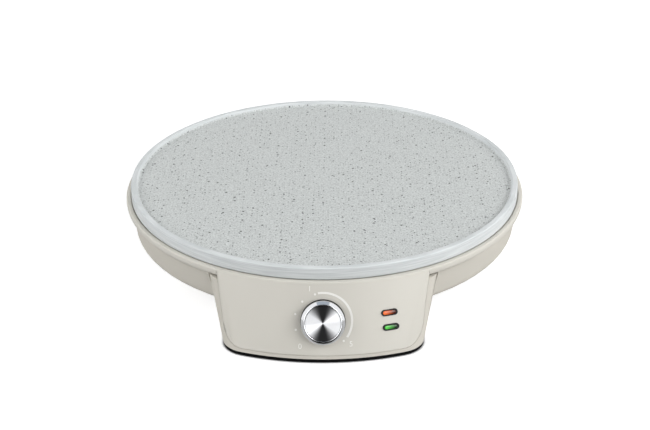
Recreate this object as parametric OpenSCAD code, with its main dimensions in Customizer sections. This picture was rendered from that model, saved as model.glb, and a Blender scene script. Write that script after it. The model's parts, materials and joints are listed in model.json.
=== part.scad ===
// Electric crepe maker: a round cast hotplate on a moulded housing, whose front drops
// into a leaning control pod with a heat knob and two pilot lamps.
// Millimetres. +Z is up, the front faces -Y, and Z = 0 is the counter.
// The shapes are drawn round the hotplate's axis. in_frame() then moves that axis back,
// so that the origin is the middle of the outer box, on the counter.

/* [Hotplate] */
// Diameter over the rim
plate_d = 300; // [270:5:330]
// Height of the rim's top above the counter
total_h = 62; // [58:1:70]
// Height of the rim's outer face
rim_h = 9.2; // [8.6:0.2:10]
// Width of the flat top of the rim
rim_w = 2.6; // [1.8:0.2:3.6]
// Depth of the cooking surface below the rim
plate_dish = 3; // [1.5:0.5:4]
// Thickness of the cast plate
plate_t = 5; // [4:0.5:5]
// Radius of the circle that the plate's pillars stand on
pillar_circle_r = 90; // [80:1:94]
// Diameter of a plate pillar
pillar_d = 13; // [11:0.5:14]

/* [Heating] */
// Radius of the heating element's ring
element_r = 105; // [102:1:115]
// Diameter of the element's tube
element_d = 6.6; // [6:0.2:7.6]
// Angle left open between the element's ends
element_gap = 18; // [12:1:30]
// Distance of the heat reflector's edge inside the rim
reflector_inset = 22; // [21:1:28]
// Thickness of the reflector's sheet
reflector_t = 0.8; // [0.6:0.1:1.2]
// Height of the reflector's upturned edge
reflector_rim_h = 6; // [3:1:8]

/* [Housing] */
// How far the collar's ledge reaches out past the rim
collar_reach = 3.6; // [3:0.2:5]
// Height of the collar's outer face
collar_h = 5.9; // [5:0.1:7]
// Wall of the mouldings
wall = 2.8; // [2.2:0.1:3.2]
// Dark gap at the seam between the two mouldings
seam_gap = 1.2; // [0.8:0.1:1.5]
// Clearance between the rim and the collar
rim_clearance = 0.9; // [0.6:0.1:1.4]
// Height of the bowl's underside above the counter
bowl_lift = 22.5; // [19:0.5:25]
// How far the bowl's wall draws in from its top to its bottom edge
bowl_draft = 2.2; // [1:0.2:4]
// Radius of the bowl's bottom edge
bowl_edge_r = 7; // [5:0.5:9]
// Radius of the blend between the bowl and the pod
blend_r = 4; // [2:0.5:6]

/* [Control pod] */
// Angle at which the fascia leans back
fascia_tilt = 22; // [20:1:24]
// Half of the pod's width at the counter
pod_half_w = 71; // [68:1:78]
// Angle at which the pod's sides spread upwards
pod_flare = 13; // [9:1:15]
// Radius of the pod's front corners, seen from above
pod_corner_r = 20.5; // [16:0.5:23]
// Distance of the pod's back wall from the hotplate's axis
pod_back = 82; // [78:1:86]
// Half of the fascia's width at its top edge
fascia_half_w = 75.4; // [72:0.2:76]
// Angle at which the fascia's edges draw in downwards
fascia_taper = 8; // [5:1:10]
// Radius of the fascia's bottom corners
fascia_corner_r = 13; // [8:1:16]
// Height of the housing's strip under the fascia
strip_h = 2.2; // [1.6:0.2:3]
// Height of the black base, with its feet
base_h = 2.9; // [2.6:0.1:3.4]

/* [Knob] */
// Diameter of the knob's skirt
knob_d = 31.4; // [28:0.2:34]
// Diameter of the spun disc
disc_d = 24.6; // [21:0.2:25]
// Height of the knob above the fascia
knob_h = 9.6; // [8.5:0.1:12]
// Height of the knob's axis where it meets the fascia
knob_z = 27.6; // [26:0.2:29]
// Angle of the pointer at rest, from the knob's right
pointer_angle = 227; // [200:1:250]
// Diameter of the thermostat's shaft
shaft_d = 6; // [5:0.5:6.5]
// Radial clearance of a running fit
running_clearance = 0.05; // [0.03:0.01:0.09]

/* [Lamps] */
// Length of a lamp's bezel
bezel_l = 12; // [11:0.2:14]
// Width of a lamp's bezel
bezel_w = 4.6; // [4.2:0.2:5.6]
// Distance between the two lamps along the slope
lamp_pitch = 10.3; // [9.6:0.1:12]
// Angle of the lamps round the hotplate's axis
lamp_angle = 16.5; // [15.6:0.1:17]
// Height of the point midway between the lamps
lamp_z = 25.6; // [25:0.2:27]

/* [Feet] */
// Diameter of a front pad
pad_d = 14; // [10:1:18]
// Radius of the circle that the rear legs stand on
leg_circle_r = 112; // [104:1:116]
// Angle of each rear leg from the rear
leg_angle = 38; // [30:1:46]
// Diameter of a rear leg at its top
leg_d = 30; // [26:1:34]

/* [Cord inlet] */
// Diameter of the gland's bore, for the mains lead
inlet_d = 7.2; // [6:0.2:8]
// Height of the gland's axis
inlet_z = 35; // [34:0.5:36]

/* [Hidden] */
$fn = 96;
eps = 0.01;

// Colours
cream = [0.82, 0.80, 0.765];
stone = [0.80, 0.82, 0.815];
black_plastic = [0.05, 0.05, 0.055];
rubber = [0.08, 0.08, 0.08];
steel = [0.62, 0.63, 0.65];
chrome = [0.85, 0.86, 0.88];
brass = [0.78, 0.64, 0.33];
ceramic = [0.93, 0.91, 0.87];

// Clearances and small details
slip = 0.2;
thread_clearance = 0.05;
edge_round = 1;
arc_steps = 12;
front_steps = 40;
lead_sides = 8;
lead_side = [0.8, 0.3, 0.5];

// Hotplate
plate_r = plate_d / 2;
rim_bottom_z = total_h - rim_h;
cook_z = total_h - plate_dish;
plate_under_z = cook_z - plate_t;
rim_slope = 1.9;
skirt_t = 4.2;
pillar_angles = [45, 135, 225, 315];

// Collar
ledge_z = total_h - rim_h + 0.2;
collar_top_r = plate_r + collar_reach;
collar_max_r = collar_top_r + 0.4;
collar_foot_r = collar_top_r - 2;
collar_inner_r = plate_r + rim_clearance;
collar_foot_z = ledge_z - collar_h;
flange_top_z = ledge_z - 1.2;
flange_z = flange_top_z - 2;
flange_inner_r = plate_r - 17;
collar_wall_r = collar_foot_r - 2.4;

// Bowl
bowl_wall = 2.5;
bowl_top_z = collar_foot_z - seam_gap;
bowl_top_r = collar_foot_r - 1.4;
bowl_foot_r = bowl_top_r - bowl_draft;
bowl_floor_z = bowl_lift + bowl_wall;
tongue_r = collar_wall_r - 0.3;
tongue_t = 2.2;
tongue_h = 3;

// Pod
base_lift = 0.5;
strip_z = base_h + strip_h;
pod_back_corner_r = 12;
lip_w = 2.4;
lip_t = 1.8;
function pod_r(z) = collar_top_r + (ledge_z - z) * tan(fascia_tilt);
function pod_w(z) = pod_half_w + z * tan(pod_flare);

// The whole part's box, whose middle is the origin: it runs from the knob's face, or
// the pod's foot, to the back of the collar
pod_front_r = pod_r(base_h);
knob_face_r = disc_d / 2 + 0.9;
knob_front_r = pod_r(knob_z) + knob_h * cos(fascia_tilt) + knob_face_r * sin(fascia_tilt);
plate_axis_y = (max(pod_front_r, knob_front_r) - collar_max_r) / 2;

// Points of an arc
function arc(c, r, a0, a1, n) =
  [for (i = [0:n]) let (a = a0 + (a1 - a0) * i / n) [c.x + r * cos(a), c.y + r * sin(a)]];

// The pod's outline at a height, drawn in by an inset: a front arc about the hotplate's
// axis, two rounded front corners and straight sides back to two smaller corners
function pod_outline(z, inset) =
  let (
    front = pod_r(z) - inset,
    side = pod_w(z) - inset,
    corner = pod_corner_r - inset,
    back = pod_back + inset,
    cx = side - corner,
    cy = -sqrt(pow(front - corner, 2) - cx * cx),
    turn = atan2(cx, -cy),
    bc = pod_back_corner_r - inset,
    bx = side - bc
  )
  concat(
    arc([0, 0], front, -90 - turn, -90 + turn, front_steps),
    arc([cx, cy], corner, -90 + turn + 90 / arc_steps, 0, arc_steps),
    arc([bx, -back - bc], bc, 0, 90, arc_steps / 2),
    arc([-bx, -back - bc], bc, 90, 180, arc_steps / 2),
    arc([-cx, cy], corner, 180, 270 - turn - 90 / arc_steps, arc_steps)
  );

// The fascia's outline seen from the front, grown by a margin: X is across and Y is up
function fascia_outline(grow) =
  let (
    foot = strip_z - grow,
    top = ledge_z + 10,
    lean = tan(fascia_taper),
    foot_w = fascia_half_w - (ledge_z - strip_z) * lean + grow / cos(fascia_taper) - grow * lean,
    top_w = foot_w + (top - foot) * lean,
    r = fascia_corner_r + grow,
    reach = r * tan((90 - fascia_taper) / 2),
    cx = foot_w - reach,
    cy = foot + r
  )
  concat(
    arc([cx, cy], r, -90, -fascia_taper, arc_steps),
    [[top_w, top], [-top_w, top]],
    arc([-cx, cy], r, 180 + fascia_taper, 270, arc_steps)
  );

// A flat bar with round ends
function pill_outline(l, w) =
  concat(
    arc([(l - w) / 2, 0], w / 2, -90, 90, arc_steps * 2),
    arc([-(l - w) / 2, 0], w / 2, 90, 270, arc_steps * 2)
  );

// Moves the shapes from the hotplate's axis to the part's own frame
module in_frame() translate([0, plate_axis_y, 0]) children();

// Puts a shape at each of some angles on a circle
module round_places(r, angles) for (a = angles) rotate(a) translate([r, 0, 0]) children();

// Puts a shape on the fascia at a height and an angle, its Z pointing out of the face
module on_fascia(z, angle)
  rotate(angle) translate([0, -pod_r(z), z]) rotate([90 - fascia_tilt, 0, 0]) children();

// The pod as a solid, from one height to another
module pod_solid(inset, z0, z1) hull() {
  translate([0, 0, z0]) linear_extrude(eps) polygon(pod_outline(z0, inset));
  translate([0, 0, z1 - eps]) linear_extrude(eps) polygon(pod_outline(z1, inset));
}

// The fascia's outline as a bar that runs back from the front
module fascia_bar(grow)
  translate([0, -pod_back - pod_back_corner_r - 12, 0]) rotate([90, 0, 0])
    linear_extrude(pod_front_r) polygon(fascia_outline(grow));

module pill(l, w, h) linear_extrude(h) polygon(pill_outline(l, w));

module ring(r_out, r_in, h) difference() {
  cylinder(r = r_out, h = h);
  translate([0, 0, -1]) cylinder(r = r_in, h = h + 2);
}

// A screw with its head down: head, then shank, with a cross-shaped recess
module screw(head_d, head_h, shank_d, length) {
  difference() {
    cylinder(d = head_d, h = head_h);
    for (a = [0, 90]) rotate(a)
      translate([-head_d * 0.28, -head_d * 0.05, -eps]) cube([head_d * 0.56, head_d * 0.1, head_h * 0.5]);
  }
  translate([0, 0, head_h - eps]) cylinder(d = shank_d, h = length - head_h + eps);
}

// A solid through some rings of points, each of which runs clockwise seen from the next.
// Its ends are closed by triangles that meet in the ring's last point
function sweep_faces(rings, points) = concat(
  [for (i = [0:rings - 2], k = [0:points - 1])
    let (a = i * points + k, b = i * points + (k + 1) % points) [a, a + points, b]],
  [for (i = [0:rings - 2], k = [0:points - 1])
    let (a = i * points + k, b = i * points + (k + 1) % points) [b, a + points, b + points]],
  [for (k = [0:points - 3]) [points - 1, k, k + 1]],
  [for (k = [0:points - 3]) let (e = (rings - 1) * points) [e + points - 1, e + k + 1, e + k]]
);
module sweep(rings)
  polyhedron([for (ring = rings) each ring], sweep_faces(len(rings), len(rings[0])));

// A lead's rings, square to its route at each bend
function unit(v) = v / norm(v);
function route_way(route, i) =
  unit(route[min(i + 1, len(route) - 1)] - route[max(i - 1, 0)]);
function lead_ring(route, i, r) =
  let (way = route_way(route, i), side = unit(cross(way, lead_side)), up = cross(side, way))
  [for (k = [0:lead_sides - 1])
    route[i] + r * (cos(360 * k / lead_sides) * side + sin(360 * k / lead_sides) * up)];
module lead(route, d) sweep([for (i = [0:len(route) - 1]) lead_ring(route, i, d / 2)]);

// ---------------------------------------------------------------- Hotplate

pillar_foot_z = 40;
plate_screw_d = 4;
plate_thread_h = 9;
element_z = plate_under_z - element_d / 2;
rib_t = 3;
sensor_x = 34;
sensor_y = -36;
fuse_x = -34;
fuse_y = 30;
clip_boss_d = 8;
clip_boss_h = 5;
clip_reach = 9;
clip_thread_d = 3;

module plate_section() polygon(concat(
  [[0, plate_under_z], [plate_r - skirt_t - 2, plate_under_z], [plate_r - skirt_t, plate_under_z - 0.6],
   [plate_r - skirt_t + 0.4, rim_bottom_z], [plate_r - 0.6, rim_bottom_z], [plate_r, rim_bottom_z + 0.6]],
  arc([plate_r - edge_round, total_h - edge_round], edge_round, 0, 90, 4),
  [[plate_r - edge_round - rim_w, total_h], [plate_r - edge_round - rim_w - rim_slope, cook_z + 0.4],
   [plate_r - edge_round - rim_w - rim_slope - 0.9, cook_z], [0, cook_z]]
));

module hotplate() color(stone) in_frame() difference() {
  union() {
    rotate_extrude() plate_section();
    round_places(pillar_circle_r, pillar_angles)
      translate([0, 0, pillar_foot_z]) cylinder(d = pillar_d, h = plate_under_z - pillar_foot_z + eps);
    translate([0, 0, element_z]) ring(
      element_r + element_d / 2 + rib_t, element_r - element_d / 2 - rib_t, element_d / 2 + eps);
    for (p = [[sensor_x, sensor_y], [fuse_x, fuse_y]])
      translate([p.x, p.y, plate_under_z - clip_boss_h]) cylinder(d = clip_boss_d, h = clip_boss_h + eps);
  }
  round_places(pillar_circle_r, pillar_angles)
    translate([0, 0, pillar_foot_z - 1]) cylinder(d = plate_screw_d + 2 * thread_clearance, h = plate_thread_h + 1);
  translate([0, 0, element_z]) rotate_extrude()
    translate([element_r, 0]) circle(d = element_d + 2 * slip, $fn = 32);
  for (p = [[sensor_x, sensor_y], [fuse_x, fuse_y]])
    translate([p.x, p.y, plate_under_z - clip_boss_h - 1])
      cylinder(d = clip_thread_d + 2 * thread_clearance, h = clip_boss_h + 1);
}

// ---------------------------------------------------------------- Heating

element_drop = 11;
pin_d = 2.4;
pin_l = 7;
bead_d = 9;
bead_h = 4;
element_ends = [-90 - element_gap / 2, -90 + element_gap / 2];
element_foot_z = element_z - element_drop;

module heating_element() color(steel) in_frame() {
  rotate([0, 0, -90 + element_gap / 2]) translate([0, 0, element_z])
    rotate_extrude(angle = 360 - element_gap) translate([element_r, 0]) circle(d = element_d, $fn = 32);
  round_places(element_r, element_ends) {
    translate([0, 0, element_z]) sphere(d = element_d + 2 * eps, $fn = 32);
    translate([0, 0, element_foot_z]) cylinder(d = element_d, h = element_drop);
  }
}

module element_insulators() color(ceramic) in_frame() round_places(element_r, element_ends)
  translate([0, 0, element_foot_z - bead_h]) ring(bead_d / 2, pin_d / 2 + thread_clearance, bead_h);

module element_pins() color(steel) in_frame() round_places(element_r, element_ends)
  translate([0, 0, element_foot_z - pin_l]) cylinder(d = pin_d, h = pin_l);

spacer_h = 3.2;
reflector_z = pillar_foot_z - spacer_h - reflector_t;
reflector_r = plate_r - reflector_inset;
terminal_slot_w = 2 * element_r * sin(element_gap / 2) + 2 * bead_d;
terminal_slot_l = 3 * bead_d;

module heat_reflector() color(steel) in_frame() difference() {
  rotate_extrude() polygon([
    [0, reflector_z], [reflector_r, reflector_z],
    [reflector_r + reflector_rim_h * 0.2, reflector_z + reflector_rim_h],
    [reflector_r + reflector_rim_h * 0.2 - reflector_t, reflector_z + reflector_rim_h],
    [reflector_r - reflector_t, reflector_z + reflector_t], [0, reflector_z + reflector_t]
  ]);
  round_places(pillar_circle_r, pillar_angles)
    translate([0, 0, reflector_z - 1]) cylinder(d = plate_screw_d + 1, h = reflector_t + 2);
  translate([-terminal_slot_w / 2, -element_r - terminal_slot_l / 2, reflector_z - 1])
    cube([terminal_slot_w, terminal_slot_l, reflector_t + 2]);
}

module plate_spacers() color(ceramic) in_frame() round_places(pillar_circle_r, pillar_angles)
  translate([0, 0, reflector_z + reflector_t]) ring(pillar_d / 2 - 0.5, plate_screw_d / 2 + 0.5, spacer_h);

plate_screw_head_d = 8;
plate_screw_head_h = 2.6;
plate_screw_seat = 4.6;

module plate_screws() color(steel) in_frame() round_places(pillar_circle_r, pillar_angles)
  translate([0, 0, bowl_lift + plate_screw_seat - plate_screw_head_h])
    screw(plate_screw_head_d, plate_screw_head_h, plate_screw_d,
      pillar_foot_z + plate_thread_h - 1 - bowl_lift - plate_screw_seat + plate_screw_head_h);

// Sensor bulb and thermal fuse, each held against the plate by a sheet clip on a boss
bulb_d = 5;
bulb_l = 46;
clip_t = 0.8;
clip_w = 9;

// The clip runs from the boss, whose foot it lies on, under a tube that touches the plate
module plate_clip(tube_d) {
  foot_z = plate_under_z - clip_boss_h - clip_t;
  difference() {
    union() {
      translate([-clip_boss_d / 2, -clip_w / 2, foot_z]) cube([clip_boss_d + 1, clip_w, clip_t]);
      translate([clip_boss_d / 2, -clip_w / 2, foot_z]) cube([clip_t, clip_w, clip_boss_h - tube_d + clip_t]);
      translate([clip_boss_d / 2, -clip_w / 2, plate_under_z - tube_d - clip_t])
        cube([clip_reach, clip_w, clip_t]);
    }
    translate([0, 0, foot_z - 1]) cylinder(d = clip_thread_d + 0.6, h = clip_t + 2);
  }
}

module clip_screw()
  translate([0, 0, plate_under_z - clip_boss_h - clip_t - 1.6]) screw(5.4, 1.6, clip_thread_d, 5.6);

module at_sensor() in_frame() translate([sensor_x, sensor_y, 0]) children();
module at_fuse() in_frame() translate([fuse_x, fuse_y, 0]) children();

module clipped_tube(d, l)
  translate([clip_boss_d / 2 + clip_reach / 2, -l / 2, plate_under_z - d / 2]) rotate([-90, 0, 0])
    cylinder(d = d - 0.02, h = l);

module sensor_bulb() color(steel) at_sensor() clipped_tube(clip_boss_h - 0.6, bulb_l);
module sensor_clip() color(steel) at_sensor() plate_clip(clip_boss_h - 0.6);
module sensor_screw() color(steel) at_sensor() clip_screw();
module thermal_fuse() color(ceramic) at_fuse() clipped_tube(clip_boss_h - 1, 14);
module fuse_clip() color(steel) at_fuse() plate_clip(clip_boss_h - 1);
module fuse_screw() color(steel) at_fuse() clip_screw();

// ---------------------------------------------------------------- Upper housing

housing_screw_circle_r = plate_r - 12;
housing_screw_angles = [45, 135, 225, 315];
housing_boss_d = 7;
housing_screw_d = 3;
housing_screw_l = 12;
housing_screw_head_h = 1.8;
housing_screw_seat = 2.2;
housing_joint_z = bowl_floor_z + 2.4;
bracket_boss_x = 23;
bracket_boss_d = 6.4;
bracket_z = -8.4;
bracket_t = 1.2;
bracket_w = 18;
bracket_end = 5;
carrier_z = -8;
carrier_t = 1.2;
carrier_boss_x = 11;
carrier_boss_d = 4.4;
small_screw_d = 2.4;
boss_root = 2.5;

module collar_section() polygon(concat(
  [[flange_inner_r, flange_z], [collar_wall_r, flange_z], [collar_wall_r, collar_foot_z],
   [collar_foot_r, collar_foot_z]],
  [for (t = [1:5]) let (a = 90 * t / 5)
    [collar_foot_r + (collar_max_r - collar_foot_r) * sin(a), collar_foot_z + 3 * (1 - cos(a))]],
  arc([collar_max_r - edge_round, ledge_z - edge_round], edge_round, 0, 90, 4),
  [[collar_inner_r, ledge_z], [collar_inner_r, flange_top_z], [flange_inner_r, flange_top_z]]
));

// A post behind the fascia, with a blind screw hole in its foot
module fascia_post(d, foot_z) difference() {
  translate([0, 0, foot_z]) cylinder(d = d, h = -boss_root - foot_z);
  translate([0, 0, foot_z - 1]) cylinder(d = small_screw_d + 2 * thread_clearance, h = 5);
}

module upper_housing() color(cream) in_frame() difference() {
  union() {
    rotate_extrude() collar_section();
    intersection() {
      difference() {
        pod_solid(0, base_h, ledge_z);
        pod_solid(wall, base_h - 1, ledge_z + 1);
      }
      fascia_bar(0);
    }
    round_places(housing_screw_circle_r, housing_screw_angles) translate([0, 0, housing_joint_z])
      difference() {
        cylinder(d = housing_boss_d, h = flange_z - housing_joint_z + eps);
        translate([0, 0, -1]) cylinder(d = housing_screw_d + 2 * thread_clearance, h = 9);
      }
    on_fascia(knob_z, 0) for (x = [-1, 1]) translate([x * bracket_boss_x, 0, 0])
      fascia_post(bracket_boss_d, bracket_z);
    on_fascia(lamp_z, lamp_angle) for (x = [-1, 1]) translate([x * carrier_boss_x, 0, 0])
      fascia_post(carrier_boss_d, carrier_z);
  }
  translate([0, 0, flange_top_z]) cylinder(r = collar_inner_r, h = rim_h);
  on_fascia(knob_z, 0) translate([0, 0, -wall - 4]) cylinder(d = shaft_d + 2, h = wall + 8);
  on_fascia(lamp_z, lamp_angle) for (y = [-1, 1]) translate([0, y * lamp_pitch / 2, -wall - 2])
    pill(bezel_l - 0.8, bezel_w - 0.8, wall + 6);
}

// ---------------------------------------------------------------- Lower housing

base_boss_x = 61;
base_boss_ys = [38 - pod_front_r, -18 - pod_back];
base_boss_d = 8;
base_boss_h = 16;
base_screw_d = 3;
leg_screw_d = 4;
leg_boss_h = 8;
blend_bite = 0.1;
blend_foot_z = bowl_lift + 1.5;
blend_levels = 8;
gland_d = 14;
gland_flange_d = 18;
gland_flange_t = 2;
gland_boss_d = 21;
gland_boss_y = bowl_foot_r - bowl_edge_r + 2.6;
rear_split_y = bowl_foot_r - 18;
block_y = bowl_foot_r - 30;
block_l = 34;
block_w = 18;
block_h = 8.4;
block_boss_h = 2;
block_bore_z = 2.4;
block_well_z = 3.4;
block_seat_z = 4;
block_screw_x = 12;

function leg_angles() = [90 + leg_angle, 90 - leg_angle];

// Puts a shape on the inner face of the gland's boss, its Z pointing out to the rear
module at_gland() translate([0, gland_boss_y, inlet_z]) rotate([-90, 0, 0]) children();

// The bowl's section, drawn in by an inset, with its rounded bottom edge
module bowl_section(inset, floor_z) polygon(concat(
  [[0, floor_z]],
  arc([bowl_foot_r - bowl_edge_r, bowl_lift + bowl_edge_r], bowl_edge_r - inset,
    -90, -90 * bowl_draft / (bowl_top_z - bowl_lift) * 0.6, 7),
  [[bowl_top_r - inset, bowl_top_z], [0, bowl_top_z]]
));

// The bowl's outer radius at a height
function bowl_r(z) =
  z < bowl_lift + bowl_edge_r
    ? bowl_foot_r - bowl_edge_r + sqrt(pow(bowl_edge_r, 2) - pow(bowl_lift + bowl_edge_r - z, 2))
    : bowl_foot_r + (bowl_top_r - bowl_foot_r) * (z - bowl_lift - bowl_edge_r)
      / (bowl_top_z - bowl_lift - bowl_edge_r);

// The blend's ring at a height: a hollow arc that touches the pod's side and the bowl's
// wall, and a corner inside both
function blend_ring(z) =
  let (
    c = [pod_w(z) + blend_r, -sqrt(pow(bowl_r(z) + blend_r, 2) - pow(pod_w(z) + blend_r, 2))],
    foot = atan2(-c.y, -c.x)
  )
  concat(
    [for (p = arc(c, blend_r + blend_bite, 180, foot, arc_steps)) [p.x, p.y, z]],
    [[c.x - blend_r - 2, c.y + blend_r, z]]
  );
module blend() sweep([for (t = [0:blend_levels])
  blend_ring(blend_foot_z + (bowl_top_z - blend_foot_z) * pow(t / blend_levels, 2))]);

// The lips behind the edge of the fascia, on the pod's side walls and along its foot
module window_lips() difference() {
  intersection() {
    difference() {
      pod_solid(wall / 2, base_h, bowl_top_z);
      pod_solid(wall + slip + lip_t, base_h - 1, total_h);
    }
    difference() {
      fascia_bar(lip_w);
      fascia_bar(-lip_w);
    }
  }
  difference() {
    fascia_bar(slip);
    pod_solid(wall + slip, base_h - 1, total_h);
  }
}

// The lower housing is one moulding, drawn as three nodes that meet face to face. The
// bowl with the pod's shoulders ends behind at an upright plane, past which lies the rear
// of the bowl with its cord inlet, and the pod's shell hangs from the bowl's underside.
module lower_housing() color(cream) in_frame() difference() {
  bowl_moulding();
  rear_block();
}

module bowl_rear() color(cream) in_frame() intersection() {
  bowl_moulding();
  rear_block();
}

module rear_block() translate([-plate_d, rear_split_y, 0]) cube([2 * plate_d, plate_d, total_h]);

module bowl_moulding() difference() {
  union() {
    difference() {
      union() {
        rotate_extrude() bowl_section(0, bowl_lift);
        pod_solid(0, base_h, bowl_top_z);
        blend();
        mirror([1, 0, 0]) blend();
        translate([0, 0, bowl_top_z - 6]) cylinder(r = tongue_r, h = 6 + tongue_h);
        at_gland() cylinder(d = gland_boss_d, h = bowl_top_r - gland_boss_y);
      }
      difference() {
        rotate_extrude() bowl_section(bowl_wall, bowl_floor_z);
        at_gland() cylinder(d = gland_boss_d, h = bowl_edge_r);
      }
      translate([0, 0, bowl_top_z - 7]) cylinder(r = tongue_r - tongue_t, h = total_h);
      pod_solid(wall, base_h - 1, total_h);
      fascia_bar(slip);
    }
    window_lips();
    round_places(pillar_circle_r, pillar_angles)
      translate([0, 0, bowl_lift]) cylinder(d = pillar_d - 1, h = reflector_z - bowl_lift);
    round_places(housing_screw_circle_r, housing_screw_angles)
      translate([0, 0, bowl_lift]) cylinder(d = housing_boss_d + 2, h = housing_joint_z - bowl_lift);
    round_places(leg_circle_r, leg_angles())
      translate([0, 0, bowl_lift]) cylinder(d = 10, h = leg_boss_h);
    translate([0, block_y, bowl_lift]) for (x = [-1, 1]) translate([x * block_screw_x, 0, 0])
      cylinder(d = 6, h = bowl_floor_z - bowl_lift + block_boss_h);
  }
  translate([-plate_d, -plate_d, bowl_lift - total_h]) cube([2 * plate_d, 2 * plate_d, total_h]);
  round_places(pillar_circle_r, pillar_angles) translate([0, 0, bowl_lift - 1]) {
    cylinder(d = plate_screw_head_d + 1, h = plate_screw_seat + 1);
    cylinder(d = plate_screw_d + 0.8, h = total_h);
  }
  round_places(housing_screw_circle_r, housing_screw_angles) translate([0, 0, bowl_lift - 1]) {
    cylinder(d = housing_screw_d + 4, h = housing_screw_seat + 1);
    cylinder(d = housing_screw_d + 0.6, h = 10);
  }
  round_places(leg_circle_r, leg_angles()) translate([0, 0, bowl_lift - 1])
    cylinder(d = leg_screw_d + 2 * thread_clearance, h = leg_boss_h);
  translate([0, block_y, bowl_lift + 1]) for (x = [-1, 1]) translate([x * block_screw_x, 0, 0])
    cylinder(d = small_screw_d + 2 * thread_clearance, h = 10);
  at_gland() translate([0, 0, -gland_d]) cylinder(d = gland_d + 2 * slip, h = 3 * gland_d);
}

module pod_shell() color(cream) in_frame() difference() {
  union() {
    difference() {
      pod_solid(0, base_h, bowl_top_z);
      pod_solid(wall, base_h - 1, total_h);
      fascia_bar(slip);
    }
    window_lips();
    intersection() {
      pod_solid(wall / 2, base_h, bowl_lift);
      for (x = [-1, 1], y = base_boss_ys) translate([x * base_boss_x, y, base_h]) {
        cylinder(d = base_boss_d, h = base_boss_h);
        translate([x > 0 ? 0 : -2 * base_boss_d, -1, 0]) cube([2 * base_boss_d, 2, base_boss_h]);
      }
    }
  }
  translate([-plate_d, -plate_d, bowl_lift]) cube([2 * plate_d, 2 * plate_d, total_h]);
  for (x = [-1, 1], y = base_boss_ys) translate([x * base_boss_x, y, base_h - 1])
    cylinder(d = base_screw_d + 2 * thread_clearance, h = 10);
}

module housing_screws() color(steel) in_frame() round_places(housing_screw_circle_r, housing_screw_angles)
  translate([0, 0, bowl_lift + housing_screw_seat - housing_screw_head_h])
    screw(housing_screw_d + 3, housing_screw_head_h, housing_screw_d, housing_screw_l);

// ---------------------------------------------------------------- Base

pad_h = 2;
pad_x = 46;
pad_y = -pod_r(0) * cos(asin(pad_x / pod_r(0))) + pad_d;
base_inset = 0.4;
base_seat_h = 1.5;

module base_cover() color(black_plastic) in_frame() difference() {
  union() {
    translate([0, 0, base_lift]) linear_extrude(base_h - base_lift) polygon(pod_outline(base_h, base_inset));
    difference() {
      translate([0, 0, base_h - eps]) linear_extrude(3) polygon(pod_outline(base_h, wall + slip));
      linear_extrude(total_h) polygon(pod_outline(base_h, wall + 2));
      fascia_bar(lip_w + 1);
      for (x = [-1, 1], y = base_boss_ys) translate([x * base_boss_x, y, base_h])
        cylinder(d = base_boss_d + 18, h = base_boss_h);
    }
  }
  for (x = [-1, 1]) translate([x * pad_x, pad_y, 0]) cylinder(d = pad_d + 2 * slip, h = base_seat_h);
  for (x = [-1, 1], y = base_boss_ys) translate([x * base_boss_x, y, 0]) {
    cylinder(d = base_screw_d + 3.6, h = base_lift + 1.2);
    cylinder(d = base_screw_d + 0.6, h = base_h + 1);
  }
}

module base_screws() color(steel) in_frame() for (x = [-1, 1], y = base_boss_ys)
  translate([x * base_boss_x, y, base_lift + 0.1]) screw(base_screw_d + 2.8, 1.1, base_screw_d, 9);

module front_pads() color(rubber) in_frame() for (x = [-1, 1]) translate([x * pad_x, pad_y, 0])
  cylinder(d = pad_d, h = base_seat_h);

// ---------------------------------------------------------------- Rear legs

leg_foot_d = leg_d - 6;
leg_pad_d = leg_foot_d - 5;
leg_foot_z = 1.6;
leg_pad_h = 3.2;
leg_screw_seat_z = 12;

module rear_leg() difference() {
  translate([0, 0, leg_foot_z]) cylinder(d1 = leg_foot_d, d2 = leg_d, h = bowl_lift - leg_foot_z);
  translate([0, 0, leg_foot_z - 1]) cylinder(d = leg_pad_d + 2 * slip, h = leg_pad_h + 1 - leg_foot_z + slip);
  cylinder(d = leg_screw_d + 5, h = leg_screw_seat_z);
  cylinder(d = leg_screw_d + 0.8, h = total_h);
}

module rear_leg_left() color(cream) in_frame() rotate(leg_angles()[0]) translate([leg_circle_r, 0, 0]) rear_leg();
module rear_leg_right() color(cream) in_frame() rotate(leg_angles()[1]) translate([leg_circle_r, 0, 0]) rear_leg();

module leg_screws() color(steel) in_frame() round_places(leg_circle_r, leg_angles())
  translate([0, 0, leg_screw_seat_z - 2.6]) screw(leg_screw_d + 4, 2.6, leg_screw_d, 2.6 + bowl_lift + 6 - leg_screw_seat_z);

module rear_pads() color(rubber) in_frame() round_places(leg_circle_r, leg_angles())
  cylinder(d = leg_pad_d, h = leg_pad_h);

// ---------------------------------------------------------------- Knob

knob_gap = 0.6;
skirt_h = 2.4;
skirt_top = knob_gap + skirt_h;
disc_t = 1;
disc_z = knob_h - 0.5 - disc_t;
core_r = disc_d / 2 - 0.1;
ring_foot_r = knob_d / 2 - 0.35;
ring_inner_r = disc_d / 2 + 0.2;
socket_z = disc_z - 1;
flat_x = shaft_d / 2 - 0.8;
shaft_back_z = -26;
shaft_front_z = socket_z - 0.3;

module ring_section(grow) polygon([
  [ring_inner_r, skirt_top], [ring_foot_r, skirt_top], [ring_foot_r + grow, skirt_top + 1 + grow],
  [knob_face_r + grow, knob_h - 0.2 + grow], [ring_inner_r + 0.4, knob_h + grow],
  [ring_inner_r, knob_h - 0.4 + grow]
]);

module pointer_slot(margin) rotate(pointer_angle)
  translate([ring_inner_r + 0.9 - margin, -0.5 - margin, skirt_top + 0.6 - margin])
    cube([knob_d / 2, 1 + 2 * margin, knob_h]);

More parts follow.
